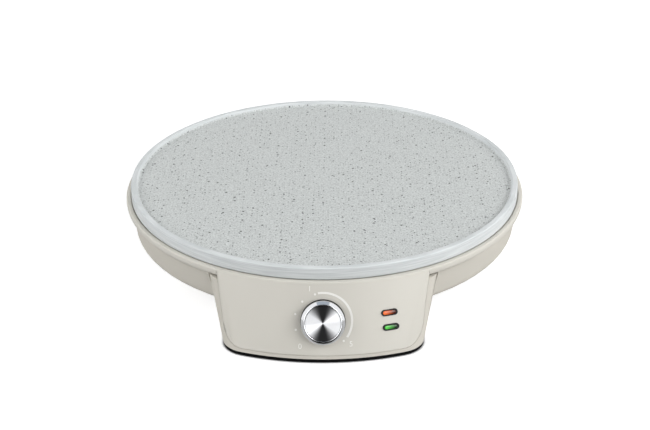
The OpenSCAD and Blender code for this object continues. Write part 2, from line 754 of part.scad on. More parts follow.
// The shaft's D-shaped section as a bar
module shaft_bar(clearance, z0, z1, flat_z) difference() {
  translate([0, 0, z0]) cylinder(d = shaft_d + 2 * clearance, h = z1 - z0);
  translate([flat_x + clearance, -shaft_d, flat_z]) cube([shaft_d, 2 * shaft_d, z1 - flat_z + 1]);
}

module on_knob() in_frame() on_fascia(knob_z, 0) children();

module knob_body() color(black_plastic) on_knob() difference() {
  union() {
    translate([0, 0, knob_gap]) cylinder(d = knob_d, h = skirt_h);
    translate([0, 0, knob_gap]) cylinder(r = core_r, h = disc_z - knob_gap);
  }
  shaft_bar(thread_clearance, knob_gap - 1, socket_z, knob_gap - 1);
}

module knob_ring() color(chrome) on_knob() difference() {
  rotate_extrude() ring_section(0);
  pointer_slot(0.03);
}

module knob_disc() color(chrome) on_knob() translate([0, 0, disc_z]) rotate_extrude() polygon([
  [0, 0], [disc_d / 2, 0], [disc_d / 2, disc_t - 0.2], [disc_d / 2 - 0.2, disc_t],
  [disc_d / 4, disc_t - 0.15], [0, disc_t - 0.25]
]);

module knob_pointer() color(black_plastic) on_knob() intersection() {
  rotate_extrude() ring_section(0.12);
  pointer_slot(0);
}

module thermostat_shaft() color(brass) on_knob() shaft_bar(0, shaft_back_z, shaft_front_z, knob_gap - 0.3);

// ---------------------------------------------------------------- Thermostat

bushing_d = 10;
bushing_front_z = -3.6 - wall * 0.1;
stator_w = 32;
stator_h = 24;
stator_back_z = -28;
nut_h = 2.4;
nut_d = 16;
blade_x = 8;
blade_l = 7;

module thermostat_body() color(ceramic) on_knob() difference() {
  union() {
    translate([0, 0, bracket_z - bracket_t - 3]) cylinder(d = bushing_d, h = bushing_front_z - bracket_z + bracket_t + 3);
    translate([-stator_w / 2, -stator_h / 2, stator_back_z])
      cube([stator_w, stator_h, bracket_z - bracket_t - stator_back_z]);
  }
  translate([0, 0, shaft_back_z - 0.3])
    cylinder(d = shaft_d + 2 * running_clearance, h = bushing_front_z - shaft_back_z + 1.3);
}

module thermostat_nut() color(steel) on_knob() translate([0, 0, bracket_z]) difference() {
  cylinder(d = nut_d, h = nut_h, $fn = 6);
  translate([0, 0, -1]) cylinder(d = bushing_d + 2 * thread_clearance, h = nut_h + 2);
}

module thermostat_terminals() color(brass) on_knob() for (x = [-1, 1])
  translate([x * blade_x - 0.4, -3.15, stator_back_z - blade_l]) cube([0.8, 6.3, blade_l]);

module thermostat_bracket() color(steel) on_knob() difference() {
  translate([-bracket_boss_x - bracket_end, -bracket_w / 2, bracket_z - bracket_t])
    cube([2 * (bracket_boss_x + bracket_end), bracket_w, bracket_t]);
  translate([0, 0, bracket_z - bracket_t - 1]) cylinder(d = bushing_d + 2 * slip, h = bracket_t + 2);
  for (x = [-1, 1]) translate([x * bracket_boss_x, 0, bracket_z - bracket_t - 1])
    cylinder(d = small_screw_d + 0.6, h = bracket_t + 2);
}

module bracket_screws() color(steel) on_knob() for (x = [-1, 1])
  translate([x * bracket_boss_x, 0, bracket_z - bracket_t - 1.6]) screw(4.6, 1.6, small_screw_d, 6);

// ---------------------------------------------------------------- Lamps

lens_l = bezel_l - 2.6;
lens_w = bezel_w - 1.8;
lens_back_z = -4.4;
lens_front_z = 0.35;
bezel_front_z = 0.55;
neon_d = 5;
neon_front_z = -5.4;
neon_back_z = -14;

module on_lamps() in_frame() on_fascia(lamp_z, lamp_angle) children();
module at_lamp(side) on_lamps() translate([0, side * lamp_pitch / 2, 0]) children();
module lens() translate([0, 0, lens_back_z]) pill(lens_l, lens_w, lens_front_z - lens_back_z);

module power_lens() color([0.95, 0.42, 0.20]) at_lamp(1) lens();
module ready_lens() color([0.35, 0.80, 0.35]) at_lamp(-1) lens();

module lamp_bezels() color(black_plastic) for (side = [-1, 1]) at_lamp(side) difference() {
  union() {
    translate([0, 0, 0.02]) pill(bezel_l, bezel_w, bezel_front_z - 0.02);
    translate([0, 0, -wall - 1]) pill(bezel_l - 1, bezel_w - 1, wall + 1 + 0.1);
  }
  translate([0, 0, -wall - 2]) pill(lens_l + 0.1, lens_w + 0.1, wall + 4);
}

module lamp_carrier() color(ceramic) on_lamps() difference() {
  union() {
    translate([-carrier_boss_x - 3, -lamp_pitch / 2 - 4.2, carrier_z - carrier_t])
      cube([2 * carrier_boss_x + 6, lamp_pitch + 8.4, carrier_t]);
    for (side = [-1, 1]) translate([0, side * lamp_pitch / 2, carrier_z - carrier_t])
      cylinder(d = neon_d + 2.4, h = lens_back_z - carrier_z + carrier_t - 0.1);
  }
  for (side = [-1, 1]) translate([0, side * lamp_pitch / 2, carrier_z - carrier_t - 1])
    cylinder(d = neon_d + 2 * thread_clearance, h = 12);
  for (x = [-1, 1]) translate([x * carrier_boss_x, 0, carrier_z - carrier_t - 1])
    cylinder(d = small_screw_d + 0.6, h = carrier_t + 2);
}

module carrier_screws() color(steel) on_lamps() for (x = [-1, 1])
  translate([x * carrier_boss_x, 0, carrier_z - carrier_t - 1.6]) screw(4.4, 1.6, small_screw_d, 6);

module neon_lamps() color([0.95, 0.75, 0.55]) for (side = [-1, 1]) at_lamp(side) {
  translate([0, 0, neon_back_z]) cylinder(d = neon_d, h = neon_front_z - neon_back_z - 1);
  translate([0, 0, neon_front_z - 1 - eps]) cylinder(d1 = neon_d, d2 = neon_d - 2, h = 1);
}

// ---------------------------------------------------------------- Wiring

block_z = bowl_floor_z + block_boss_h;
block_pitch = 8.5;
lead_d = 2.6;
lead_z = 28.5;
gland_l = bowl_top_r - gland_boss_y + 2 * (gland_flange_t + slip);

module terminal_block() color(ceramic) in_frame() translate([0, block_y, block_z]) difference() {
  translate([-block_l / 2, -block_w / 2, 0]) cube([block_l, block_w, block_h]);
  for (x = [-1, 1]) translate([x * block_screw_x, 0, -1]) {
    cylinder(d = small_screw_d + 0.6, h = block_h + 2);
    translate([0, 0, block_seat_z + 1]) cylinder(d = 5.2, h = block_h);
  }
  for (x = [-0.5, 0.5], y = [-1, 1]) translate([x * block_pitch, y * block_w / 3.6, block_well_z])
    cylinder(d = 4, h = block_h);
  for (x = [-0.5, 0.5]) translate([x * block_pitch, -block_w, block_bore_z]) rotate([-90, 0, 0])
    cylinder(d = 3, h = 2 * block_w, $fn = 32);
}

module terminal_screws() color(brass) in_frame() translate([0, block_y, block_z + block_well_z + 0.6])
  for (x = [-0.5, 0.5], y = [-1, 1]) translate([x * block_pitch, y * block_w / 3.6, 0]) difference() {
    cylinder(d = 3.9, h = 2.4);
    translate([-2.5, -0.3, 1.6]) cube([5, 0.6, 1]);
  }

module block_screws() color(steel) in_frame() for (x = [-1, 1])
  translate([x * block_screw_x, block_y, block_z + block_seat_z + 1.6]) mirror([0, 0, 1])
    screw(4.6, 1.6, small_screw_d, 7);

// Where a point of the fascia's own frame stands
function from_fascia(p, z) =
  [
    p.x,
    -pod_r(z) + p.y * sin(fascia_tilt) - p.z * cos(fascia_tilt),
    z + p.y * cos(fascia_tilt) + p.z * sin(fascia_tilt)
  ];

// Two leads run along the bowl's floor from the block, and a third joins the thermostat
// to the element
module internal_leads() color([0.75, 0.2, 0.15]) in_frame() {
  mouth_z = block_z + block_bore_z;
  mouth_y = block_y - block_w / 2 - slip;
  left_blade = from_fascia([-blade_x, 0, stator_back_z - blade_l - slip], knob_z);
  right_blade = from_fascia([blade_x, 0, stator_back_z - blade_l - slip], knob_z);
  pin_x = element_r * sin(element_gap / 2);
  pin_y = -element_r * cos(element_gap / 2);
  pin_z = element_foot_z - pin_l - slip;
  lead([[-block_pitch / 2, mouth_y, mouth_z], [-block_pitch / 2, mouth_y - 6, mouth_z],
        [-20, block_y - 33, lead_z], [-26, block_y - 48, lead_z], [-26, 45 - element_r, lead_z],
        [-18, 13 - element_r, lead_z],
        left_blade + [0, 6, -3], left_blade], lead_d);
  lead([[block_pitch / 2, mouth_y, mouth_z], [block_pitch / 2, mouth_y - 6, mouth_z],
        [22, block_y - 33, lead_z], [30, block_y - 48, lead_z], [30, 35 - element_r, lead_z],
        [pin_x + 5, pin_y + 10, lead_z - 1],
        [pin_x, pin_y, pin_z - 5], [pin_x, pin_y, pin_z]], lead_d);
  lead([right_blade, right_blade + [-2, 7, -2], [-8, pin_y - 8, lead_z - 8],
        [-pin_x, pin_y, pin_z - 6], [-pin_x, pin_y, pin_z]], lead_d);
}

// The gland's two flanges hold the boss between them
module cord_gland() color(black_plastic) in_frame() at_gland() difference() {
  union() {
    translate([0, 0, -gland_flange_t - slip]) cylinder(d = gland_d, h = gland_l);
    for (z = [-gland_flange_t - slip, gland_l - 2 * gland_flange_t - slip])
      translate([0, 0, z]) cylinder(d = gland_flange_d, h = gland_flange_t);
  }
  translate([0, 0, -gland_flange_t - 1]) cylinder(d = inlet_d, h = gland_l + 2);
}

// ---------------------------------------------------------------- Nodes

hotplate();
heating_element();
element_insulators();
element_pins();
heat_reflector();
plate_spacers();
plate_screws();
sensor_bulb();
sensor_clip();
sensor_screw();
thermal_fuse();
fuse_clip();
fuse_screw();
upper_housing();
lower_housing();
bowl_rear();
pod_shell();
housing_screws();
base_cover();
base_screws();
front_pads();
rear_leg_left();
rear_leg_right();
leg_screws();
rear_pads();
knob_body();
knob_ring();
knob_disc();
knob_pointer();
thermostat_shaft();
thermostat_body();
thermostat_nut();
thermostat_terminals();
thermostat_bracket();
bracket_screws();
power_lens();
ready_lens();
lamp_bezels();
lamp_carrier();
carrier_screws();
neon_lamps();
terminal_block();
terminal_screws();
block_screws();
internal_leads();
cord_gland();
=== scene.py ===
"""Looks of an electric crepe maker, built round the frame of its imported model.

Lengths are metres in the frame's own axes: Z is up, the front faces -Y and Z = 0 is the counter.
"""

import json
import math

import bmesh
import bpy
from bpy.props import FloatProperty, FloatVectorProperty, PointerProperty
from mathutils import Matrix, Vector


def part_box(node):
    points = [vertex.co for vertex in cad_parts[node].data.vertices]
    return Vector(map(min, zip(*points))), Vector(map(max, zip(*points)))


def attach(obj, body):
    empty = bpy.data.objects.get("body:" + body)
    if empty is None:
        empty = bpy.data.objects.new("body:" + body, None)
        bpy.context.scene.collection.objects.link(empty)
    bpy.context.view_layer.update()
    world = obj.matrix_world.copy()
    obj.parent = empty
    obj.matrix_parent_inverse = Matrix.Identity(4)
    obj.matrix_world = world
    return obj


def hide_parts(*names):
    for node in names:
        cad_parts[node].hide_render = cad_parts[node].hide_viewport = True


bl_info = {
    "name": "Electric crepe maker",
    "version": (1, 0, 0),
    "blender": (4, 5, 0),
    "location": "3D View > Sidebar > Crepe maker",
    "description": "Builds the housing, hotplate, knob and lamps of a round electric crepe maker",
    "category": "Object",
}

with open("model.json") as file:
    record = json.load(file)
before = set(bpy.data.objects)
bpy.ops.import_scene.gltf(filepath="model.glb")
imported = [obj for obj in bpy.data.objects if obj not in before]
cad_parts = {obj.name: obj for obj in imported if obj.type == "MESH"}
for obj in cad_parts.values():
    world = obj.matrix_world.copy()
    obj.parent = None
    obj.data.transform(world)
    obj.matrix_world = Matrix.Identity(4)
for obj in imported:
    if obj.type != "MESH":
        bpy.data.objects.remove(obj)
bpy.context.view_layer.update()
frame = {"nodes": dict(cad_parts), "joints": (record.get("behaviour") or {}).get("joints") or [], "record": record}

MM = 0.001
UP = Vector((0, 0, 1))

# Points nearer than WELD are merged, and heights nearer than SAME are taken as one
WELD = 2e-6
SAME = 1e-6

# What the frame gives: the hotplate's axis, the heights and radii that the pieces share
PLATE_LOW, PLATE_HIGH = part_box("hotplate")
COLLAR_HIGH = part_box("upper_housing")[1]
AXIS = Vector(((PLATE_LOW.x + PLATE_HIGH.x) / 2, (PLATE_LOW.y + PLATE_HIGH.y) / 2, 0))
AT_AXIS = Matrix.Translation(AXIS)
PLATE_R = (PLATE_HIGH.x - PLATE_LOW.x) / 2
TOP_Z = PLATE_HIGH.z
LEDGE_Z = COLLAR_HIGH.z
COLLAR_MAX_R = COLLAR_HIGH.x - AXIS.x
KNOB_JOINT = next(j for j in frame["joints"] if j["child"] == "knob")
KNOB_AT = Vector(KNOB_JOINT["pos_m"])
KNOB_OUT = -Vector(KNOB_JOINT["axis"]).normalized()

# Sizes that more than one step needs
BASE_TOP = 2.9 * MM
COLLAR_TOP_R = COLLAR_MAX_R - 0.4 * MM
BOWL_TOP_R = COLLAR_MAX_R - 3.8 * MM
FASCIA_PROUD = 0.3 * MM

# Where the fascia's facets are cut, and how far from the knob's middle the cuts are hidden
SPLIT_HEIGHTS = (KNOB_AT.z - 7 * MM, KNOB_AT.z + 7 * MM)
KNOB_COVER = 14 * MM

# The square lights' distance from the object, and their sides
LIGHT_DISTANCE = 2.1
LIGHT_SIZE = 1.3


# ------------------------------------------------------------------ Sizes and colours


def length(name, description, default):
    return FloatProperty(
        name=name, description=description, default=default, unit="LENGTH", precision=5
    )


def angle(name, description, degrees):
    return FloatProperty(
        name=name, description=description, default=math.radians(degrees), subtype="ANGLE"
    )


def level(name, description, default):
    return FloatProperty(name=name, description=description, default=default)


def colour(name, description, default):
    return FloatVectorProperty(
        name=name, description=description, default=default, subtype="COLOR", size=3, min=0, max=1
    )


def srgb(red, green, blue):
    """A colour given in the usual 0 to 255, as the linear values that the shaders take."""

    def linear(value):
        value /= 255
        return value / 12.92 if value <= 0.04045 else ((value + 0.055) / 1.055) ** 2.4

    return tuple(linear(v) for v in (red, green, blue))


class CREPE_PG_plate(bpy.types.PropertyGroup):
    rim_height: length("Rim height", "Height of the rim's outer face", 9.2 * MM)
    rim_width: length("Rim width", "Width of the flat top of the rim", 2.6 * MM)
    dish: length("Dish", "Depth of the cooking surface below the rim", 3 * MM)
    thickness: length("Thickness", "Thickness of the cast plate", 5 * MM)
    skirt: length("Skirt", "Thickness of the rim's skirt", 4.2 * MM)
    coat: colour("Coat", "Colour of the coated cooking surface", srgb(206, 210, 209))
    speck: colour("Speck", "Colour of the dark specks", srgb(46, 50, 52))


class CREPE_PG_housing(bpy.types.PropertyGroup):
    collar_height: length("Collar height", "Height of the collar's outer face", 5.9 * MM)
    wall: length("Wall", "Wall of the mouldings", 2.8 * MM)
    seam: length("Seam", "Dark gap between the two mouldings", 1.2 * MM)
    tilt: angle("Fascia tilt", "How far the fascia leans back", 22)
    pod_half_width: length("Pod half width", "Half of the pod's width at the counter", 71 * MM)
    flare: angle("Pod flare", "How far the pod's sides spread upwards", 13)
    corner: length("Front corner", "Radius of the pod's front corners", 20.5 * MM)
    pod_back: length("Pod back", "Distance of the pod's back wall from the axis", 82 * MM)
    back_corner: length("Back corner", "Radius of the pod's back corners", 12 * MM)
    fascia_half_width: length("Fascia half width", "Half of the fascia's top edge", 75.4 * MM)
    fascia_taper: angle("Fascia taper", "How far the fascia's edges draw in downwards", 8)
    fascia_corner: length("Fascia corner", "Radius of the fascia's bottom corners", 13 * MM)
    strip: length("Strip", "Height of the strip under the fascia", 2.2 * MM)
    bowl_lift: length("Bowl lift", "Height of the bowl's underside", 22.5 * MM)
    bowl_draft: length("Bowl draft", "How far the bowl's wall draws in", 2.2 * MM)
    bowl_edge: length("Bowl edge", "Radius of the bowl's bottom edge", 7 * MM)
    fillet: length("Fillet", "Blend between the bowl and the pod", 4 * MM)
    pillar_circle: length("Pillar circle", "Radius of the circle of the plate's screws", 90 * MM)
    screw_circle: length("Screw circle", "Radius of the circle of the housing's screws", 138 * MM)
    boss: length("Gland boss", "Diameter of the flat boss round the cord's gland", 21 * MM)
    inlet: length("Inlet", "Height of the cord's gland", 35 * MM)
    cream: colour("Cream", "Colour of the mouldings", srgb(217, 214, 205))


class CREPE_PG_knob(bpy.types.PropertyGroup):
    diameter: length("Diameter", "Diameter of the knob's skirt", 31.4 * MM)
    disc: length("Disc", "Diameter of the spun disc", 24.6 * MM)
    height: length("Height", "Height of the knob above the fascia", 9.6 * MM)
    scale_radius: length("Scale radius", "Radius of the printed scale", 20.2 * MM)
    scale_width: length("Scale width", "Width of the printed scale", 1.5 * MM)
    print_colour: colour("Print", "Colour of the printed scale", srgb(250, 249, 244))


class CREPE_PG_lamps(bpy.types.PropertyGroup):
    bezel_length: length("Bezel length", "Length of a lamp's bezel", 12 * MM)
    bezel_width: length("Bezel width", "Width of a lamp's bezel", 4.6 * MM)
    lens_length: length("Lens length", "Length of a lamp's lens", 9.4 * MM)
    lens_width: length("Lens width", "Width of a lamp's lens", 2.8 * MM)
    pitch: length("Pitch", "Distance between the lamps", 10.3 * MM)
    height: length("Height", "Height midway between the lamps", 25.6 * MM)
    turn: angle("Turn", "Angle of the lamps round the hotplate's axis", 16.5)


class CREPE_PG_stage(bpy.types.PropertyGroup):
    focal: level("Focal length", "Camera lens in mm", 83.08)
    left: level("Left light", "Radiance of the light at front left", 2.15)
    right: level("Right light", "Radiance of the light at front right", 3.9)
    left_side: level("Left side", "Radiance of the light at the left", 4.1)
    right_side: level("Right side", "Radiance of the light at the right", 4.8)
    back: level("Back light", "Radiance of the light behind", 0.75)


# ------------------------------------------------------------------ Meshes


def arc(centre, radius, start, end, steps):
    """Points of an arc in a plane, from one angle to another in degrees."""
    turns = (math.radians(start + (end - start) * i / steps) for i in range(steps + 1))
    return [(centre[0] + radius * math.cos(t), centre[1] + radius * math.sin(t)) for t in turns]


def plug(radius, low, high):
    """The section of a plain round solid."""
    return [(0, low), (radius, low), (radius, high), (0, high)]


def lathe(section, steps, closed=False):
    """A section of (radius, height) points turned round Z."""
    bm = bmesh.new()
    verts = [bm.verts.new((r, 0, z)) for r, z in section]
    pairs = zip(verts, verts[1:] + (verts[:1] if closed else []))
    edges = [bm.edges.new(pair) for pair in pairs]
    bmesh.ops.spin(
        bm, geom=verts + edges, cent=(0, 0, 0), axis=(0, 0, 1),
        angle=math.tau, steps=steps, use_merge=True, use_duplicate=False,
    )
    bmesh.ops.remove_doubles(bm, verts=bm.verts, dist=1e-7)
    on_axis = [e for e in bm.edges if not e.link_faces]
    bmesh.ops.delete(bm, geom=on_axis, context="EDGES")
    bmesh.ops.recalc_face_normals(bm, faces=bm.faces)
    return bm


def loft(outlines):
    """A closed solid through outlines, each a list of points with as many points."""
    bm = bmesh.new()
    verts = [bm.verts.new(p) for p in outlines[0]]
    edges = [bm.edges.new(pair) for pair in zip(verts, verts[1:] + verts[:1])]
    bm.faces.new(verts)
    for outline in outlines[1:]:
        made = bmesh.ops.extrude_edge_only(bm, edges=edges)["geom"]
        bm.verts.index_update()
        fresh = {v for v in made if isinstance(v, bmesh.types.BMVert)}
        order = [
            next(e.other_vert(v) for e in v.link_edges if e.other_vert(v) in fresh) for v in verts
        ]
        for vert, point in zip(order, outline):
            vert.co = point
        edges = [bm.edges.get(pair) for pair in zip(order, order[1:] + order[:1])]
        verts = order
    bm.faces.new(verts)
    bmesh.ops.recalc_face_normals(bm, faces=bm.faces)
    return bm


def place(bm, matrix):
    bmesh.ops.transform(bm, matrix=matrix, verts=bm.verts)
    return bm


def linked(name, data):
    """A new object in the scene."""
    obj = bpy.data.objects.new(name, data)
    bpy.context.scene.collection.objects.link(obj)
    return obj


def temporary(bm, name="shape"):
    """A bmesh as an object, to cut or join with or to finish as a piece."""
    mesh = bpy.data.meshes.new(name)
    bm.to_mesh(mesh)
    bm.free()
    return linked(name, mesh)


def turned(section, steps, closed=False, at=AT_AXIS):
    """A section turned about the hotplate's axis, or about Z of another place, as an object."""
    return temporary(place(lathe(section, steps, closed), at))


def evaluated_mesh(obj):
    """A new mesh of an object, as its modifiers or its text make it."""
    graph = bpy.context.evaluated_depsgraph_get()
    return bpy.data.meshes.new_from_object(obj.evaluated_get(graph))


def combine(obj, other, operation):
    """Cuts other from obj, or joins or intersects the two, and removes other."""
    cut = obj.modifiers.new("combine", "BOOLEAN")
    cut.operation = operation
    cut.object = other
    cut.solver = "MANIFOLD"
    baked = evaluated_mesh(obj)
    obj.modifiers.clear()
    old = obj.data
    obj.data = baked
    bpy.data.meshes.remove(old)
    bpy.data.objects.remove(other)
    if not is_closed(baked):
        raise RuntimeError(f"{operation} left {obj.name} open")


def is_closed(mesh, fewest=16):
    """Whether each edge lies between two faces, and there are more faces than the fewest."""
    bm = bmesh.new()
    bm.from_mesh(mesh)
    closed = len(bm.faces) > fewest and all(len(e.link_faces) == 2 for e in bm.edges)
    bm.free()
    return closed


def several(section, places, steps):
    """The same turned shape at several places, as one object to cut or join with."""
    whole = bmesh.new()
    for at in places:
        mesh = bpy.data.meshes.new("part")
        part = place(lathe(section, steps), at)
        part.to_mesh(mesh)
        part.free()
        whole.from_mesh(mesh)
        bpy.data.meshes.remove(mesh)
    return temporary(whole)


def polar(degrees, radius=1.0):
    """A point at an angle and a distance from the middle of the XY plane."""
    turn = math.radians(degrees)
    return Vector((math.cos(turn), math.sin(turn), 0)) * radius


def round_places(radius, degrees):
    """Places on a circle about the hotplate's axis."""
    for turn in degrees:
        yield Matrix.Translation(AXIS + polar(turn, radius))


def facing(right, rise, out):
    """The turn that takes X, Y and Z to three directions."""
    return Matrix((right, rise, out)).transposed().to_4x4()


def edit(obj, change):
    """Runs a change on an object's mesh as a bmesh."""
    bm = bmesh.new()
    bm.from_mesh(obj.data)
    change(bm)
    bm.to_mesh(obj.data)
    bm.free()


def round_edges(bm, edges, offset, segments):
    bmesh.ops.bevel(
        bm, geom=edges, offset=offset, offset_type="OFFSET", segments=segments, profile=0.5,
        affect="EDGES", clamp_overlap=False, material=-1, loop_slide=True,
    )


def sharp_edges(bm, least=50):
    """Edges whose faces meet at more than an angle in degrees."""
    limit = math.radians(least)
    return [e for e in bm.edges if len(e.link_faces) == 2 and e.calc_face_angle() > limit]


def lies_at(edge, height):
    """Whether both ends of an edge are at a height."""
    return all(abs(v.co.z - height) < SAME for v in edge.verts)


def finish_piece(obj, name, material, body, replaces=(), smooth=35):
    """Names a made piece, smooths it, gives it its finish and hangs it on its body."""
    obj.name = name
    obj.data.name = name
    obj.data.materials.clear()
    obj.data.materials.append(material)
    obj.data.shade_smooth()
    obj.data.set_sharp_from_angle(angle=math.radians(smooth))
    weighted = obj.modifiers.new("even_normals", "WEIGHTED_NORMAL")
    weighted.keep_sharp = True
    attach(obj, body)
    if replaces:
        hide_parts(*replaces)


def merged_copy(node, rounding=0.0):
    """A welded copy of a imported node's mesh, its flats joined and its sharp edges rounded."""
    bm = bmesh.new()
    bm.from_mesh(frame["nodes"][node].data)
    bmesh.ops.remove_doubles(bm, verts=bm.verts, dist=WELD)
    bmesh.ops.dissolve_limit(
        bm, angle_limit=math.radians(0.5), verts=bm.verts, edges=bm.edges, delimit=set()
    )
    if rounding:
        round_edges(bm, sharp_edges(bm), rounding, 2)
    return temporary(bm)


# ------------------------------------------------------------------ Materials


class Finish:
    """A material's nodes, with short calls to add and link them."""

    def __init__(self, name):
        self.material = bpy.data.materials.new(name)
        self.material.use_nodes = True
        self.nodes = self.material.node_tree.nodes
        self.links = self.material.node_tree.links
        self.nodes.clear()
        self.output = self.nodes.new("ShaderNodeOutputMaterial")
        self.shader = self.nodes.new("ShaderNodeBsdfPrincipled")
        self.link(self.shader.outputs["BSDF"], self.output.inputs["Surface"])

    def link(self, source, target):
        self.links.new(source, target)

    def add(self, kind, inputs=None, **settings):
        """A new node. Its inputs take numbers, colours or other nodes' outputs."""
        node = self.nodes.new(kind)
        for key, value in settings.items():
            setattr(node, key, value)
        for key, value in (inputs or {}).items():
            if isinstance(value, bpy.types.NodeSocket):
                self.link(value, node.inputs[key])
            else:
                node.inputs[key].default_value = value
        return node

    def set(self, **values):
        """Numbers and colours for the shader's own sockets, by their names."""
        for key, value in values.items():
            self.shader.inputs[key.replace("_", " ")].default_value = value

    def math(self, operation, *values):
        return self.add("ShaderNodeMath", dict(enumerate(values)), operation=operation).outputs[0]

    def vectors(self, operation, inputs, output="Vector"):
        """A step of vector maths, its inputs by their places on the node."""
        return self.add("ShaderNodeVectorMath", inputs, operation=operation).outputs[output]

    def place(self, location=(0, 0, 0), scale=(1, 1, 1)):
        """Object coordinates, moved and scaled."""
        here = self.add("ShaderNodeTexCoord").outputs["Object"]
        inputs = {"Vector": here, "Location": location, "Scale": scale}
        return self.add("ShaderNodeMapping", inputs).outputs[0]

    def noise(self, vector, scale, detail=2.0, roughness=0.5):
        inputs = {"Vector": vector, "Scale": scale, "Detail": detail, "Roughness": roughness}
        return self.add("ShaderNodeTexNoise", inputs).outputs["Fac"]

    def ramp(self, value, low, high, to_low=0.0, to_high=1.0):
        """Takes low to to_low and high to to_high, and holds what lies outside."""
        inputs = {
            "Value": value, "From Min": low, "From Max": high, "To Min": to_low, "To Max": to_high,
        }
        return self.add("ShaderNodeMapRange", inputs, clamp=True).outputs[0]

    def mix(self, mask, first, second):
        """The first colour where the mask is 0, the second where it is 1."""
        node = self.add("ShaderNodeMix", {0: mask}, data_type="RGBA", clamp_factor=True)
        for socket, value in ((node.inputs[6], first), (node.inputs[7], second)):
            if isinstance(value, bpy.types.NodeSocket):
                self.link(value, socket)
            else:
                socket.default_value = (*value[:3], 1)
        return node.outputs[2]

    def colour(self, socket):
        self.link(socket, self.shader.inputs["Base Color"])

    def bump(self, height, distance):
        inputs = {"Height": height, "Distance": distance, "Strength": 1.0}
        made = self.add("ShaderNodeBump", inputs)
        self.link(made.outputs[0], self.shader.inputs["Normal"])


def shade(value, factor):
    return tuple(min(1, v * factor) for v in value)


def moulded(name, tone, roughness=0.42, vary=0.02, grain=0.012 * MM, shine=0.5):
    """Moulded plastic: a very fine grain in the surface and slow changes of tone."""
    finish = Finish(name)
    finish.set(Roughness=roughness, IOR=1.47, Specular_IOR_Level=shine)
    here = finish.place()
    slow = finish.ramp(finish.noise(here, 14, 3), 0.3, 0.7)
    finish.colour(finish.mix(slow, shade(tone, 1 - vary), shade(tone, 1 + vary)))
    finish.bump(finish.noise(here, 1800, 2), grain)
    return finish.material


def brushed(name, tone, roughness):
    """Plain or plated metal, with fine changes of tone and of gloss."""
    finish = Finish(name)
    finish.set(Metallic=1.0, Roughness=roughness)
    fine = finish.noise(finish.place(), 900, 3)
    finish.colour(finish.mix(fine, shade(tone, 0.86), shade(tone, 1.08)))
    gloss = finish.ramp(fine, 0.3, 0.7, roughness * 0.8, roughness * 1.3)
    finish.link(gloss, finish.shader.inputs["Roughness"])
    return finish.material


def specks(finish, vector, cell, share, widest, ragged=0.35 * MM):
    """Round specks with ragged edges, one at most in each cell, as a mask from 0 to 1."""
    inputs = {"Vector": vector, "Scale": 2.2 / ragged}
    wobble = finish.add("ShaderNodeTexNoise", inputs).outputs["Color"]
    offset = finish.vectors("ADD", {0: wobble, 1: (-0.5, -0.5, -0.5)})
    moved = finish.vectors("SCALE", {0: offset, 3: ragged})
    shifted = finish.vectors("ADD", {0: vector, 1: moved})
    cells = finish.add(
        "ShaderNodeTexVoronoi", {"Vector": shifted, "Scale": 1 / cell}, voronoi_dimensions="2D"
    )
    chance = finish.add("ShaderNodeSeparateColor", {"Color": cells.outputs["Color"]}).outputs[0]
    radius = finish.ramp(chance, 1 - share, 1, 0, widest / cell / 2)
    edge = finish.math("SUBTRACT", radius, cells.outputs["Distance"])
    return finish.ramp(edge, 0, 0.12 * widest / cell)


def stone_coat(plate):
    """The non-stick coat: fine pale mottling under grey and near-black specks."""
    finish = Finish("stone_coat")
    finish.set(Roughness=0.42, IOR=1.5)
    here = finish.place(location=(-AXIS.x, -AXIS.y, 0))
    mottle = finish.ramp(finish.noise(here, 760, 2, 0.6), 0.34, 0.66)
    tone = finish.mix(mottle, shade(plate.coat, 0.8), shade(plate.coat, 1.18))
    # Each layer of dark specks: its cell, the share of cells with one, the widest, and how dark
    for cell, share, widest, depth in (
        (1.9 * MM, 0.5, 1.0 * MM, 0.6),
        (3.8 * MM, 0.5, 1.4 * MM, 0.95),
        (7.5 * MM, 0.6, 2.0 * MM, 1.0),
    ):
        mask = specks(finish, here, cell, share, widest)
        tone = finish.mix(finish.math("MULTIPLY", mask, depth), tone, plate.speck)
    aside = finish.place(location=(0.31, 0.17, 0))
    pale = specks(finish, aside, 3.4 * MM, 0.3, 0.8 * MM)
    tone = finish.mix(finish.math("MULTIPLY", pale, 0.5), tone, shade(plate.coat, 1.25))
    # The rim is coated without specks, and its face is paler
    split = finish.add("ShaderNodeSeparateXYZ", {"Vector": here})
    flat = finish.add("ShaderNodeCombineXYZ", {"X": split.outputs[0], "Y": split.outputs[1]})
    reach = finish.vectors("LENGTH", {0: flat.outputs[0]}, "Value")
    lip_r = PLATE_R - plate.rim_width - 2.4 * MM
    on_rim = finish.ramp(reach, lip_r - 0.4 * MM, lip_r + 0.3 * MM)
    streaks = finish.ramp(finish.noise(finish.place(scale=(0.15, 0.15, 6)), 260, 3), 0.35, 0.65)
    rim_tone = finish.mix(streaks, srgb(210, 215, 216), srgb(230, 234, 235))
    finish.colour(finish.mix(on_rim, tone, rim_tone))
    finish.bump(finish.noise(here, 1500, 2), 0.02 * MM)
    return finish.material


def chrome():
    finish = Finish("polished_chrome")
    finish.set(Metallic=1.0, Roughness=0.09)
    haze = finish.noise(finish.place(), 300, 2)
    finish.colour(finish.mix(haze, (0.80, 0.81, 0.83), (0.88, 0.89, 0.91)))
    return finish.material


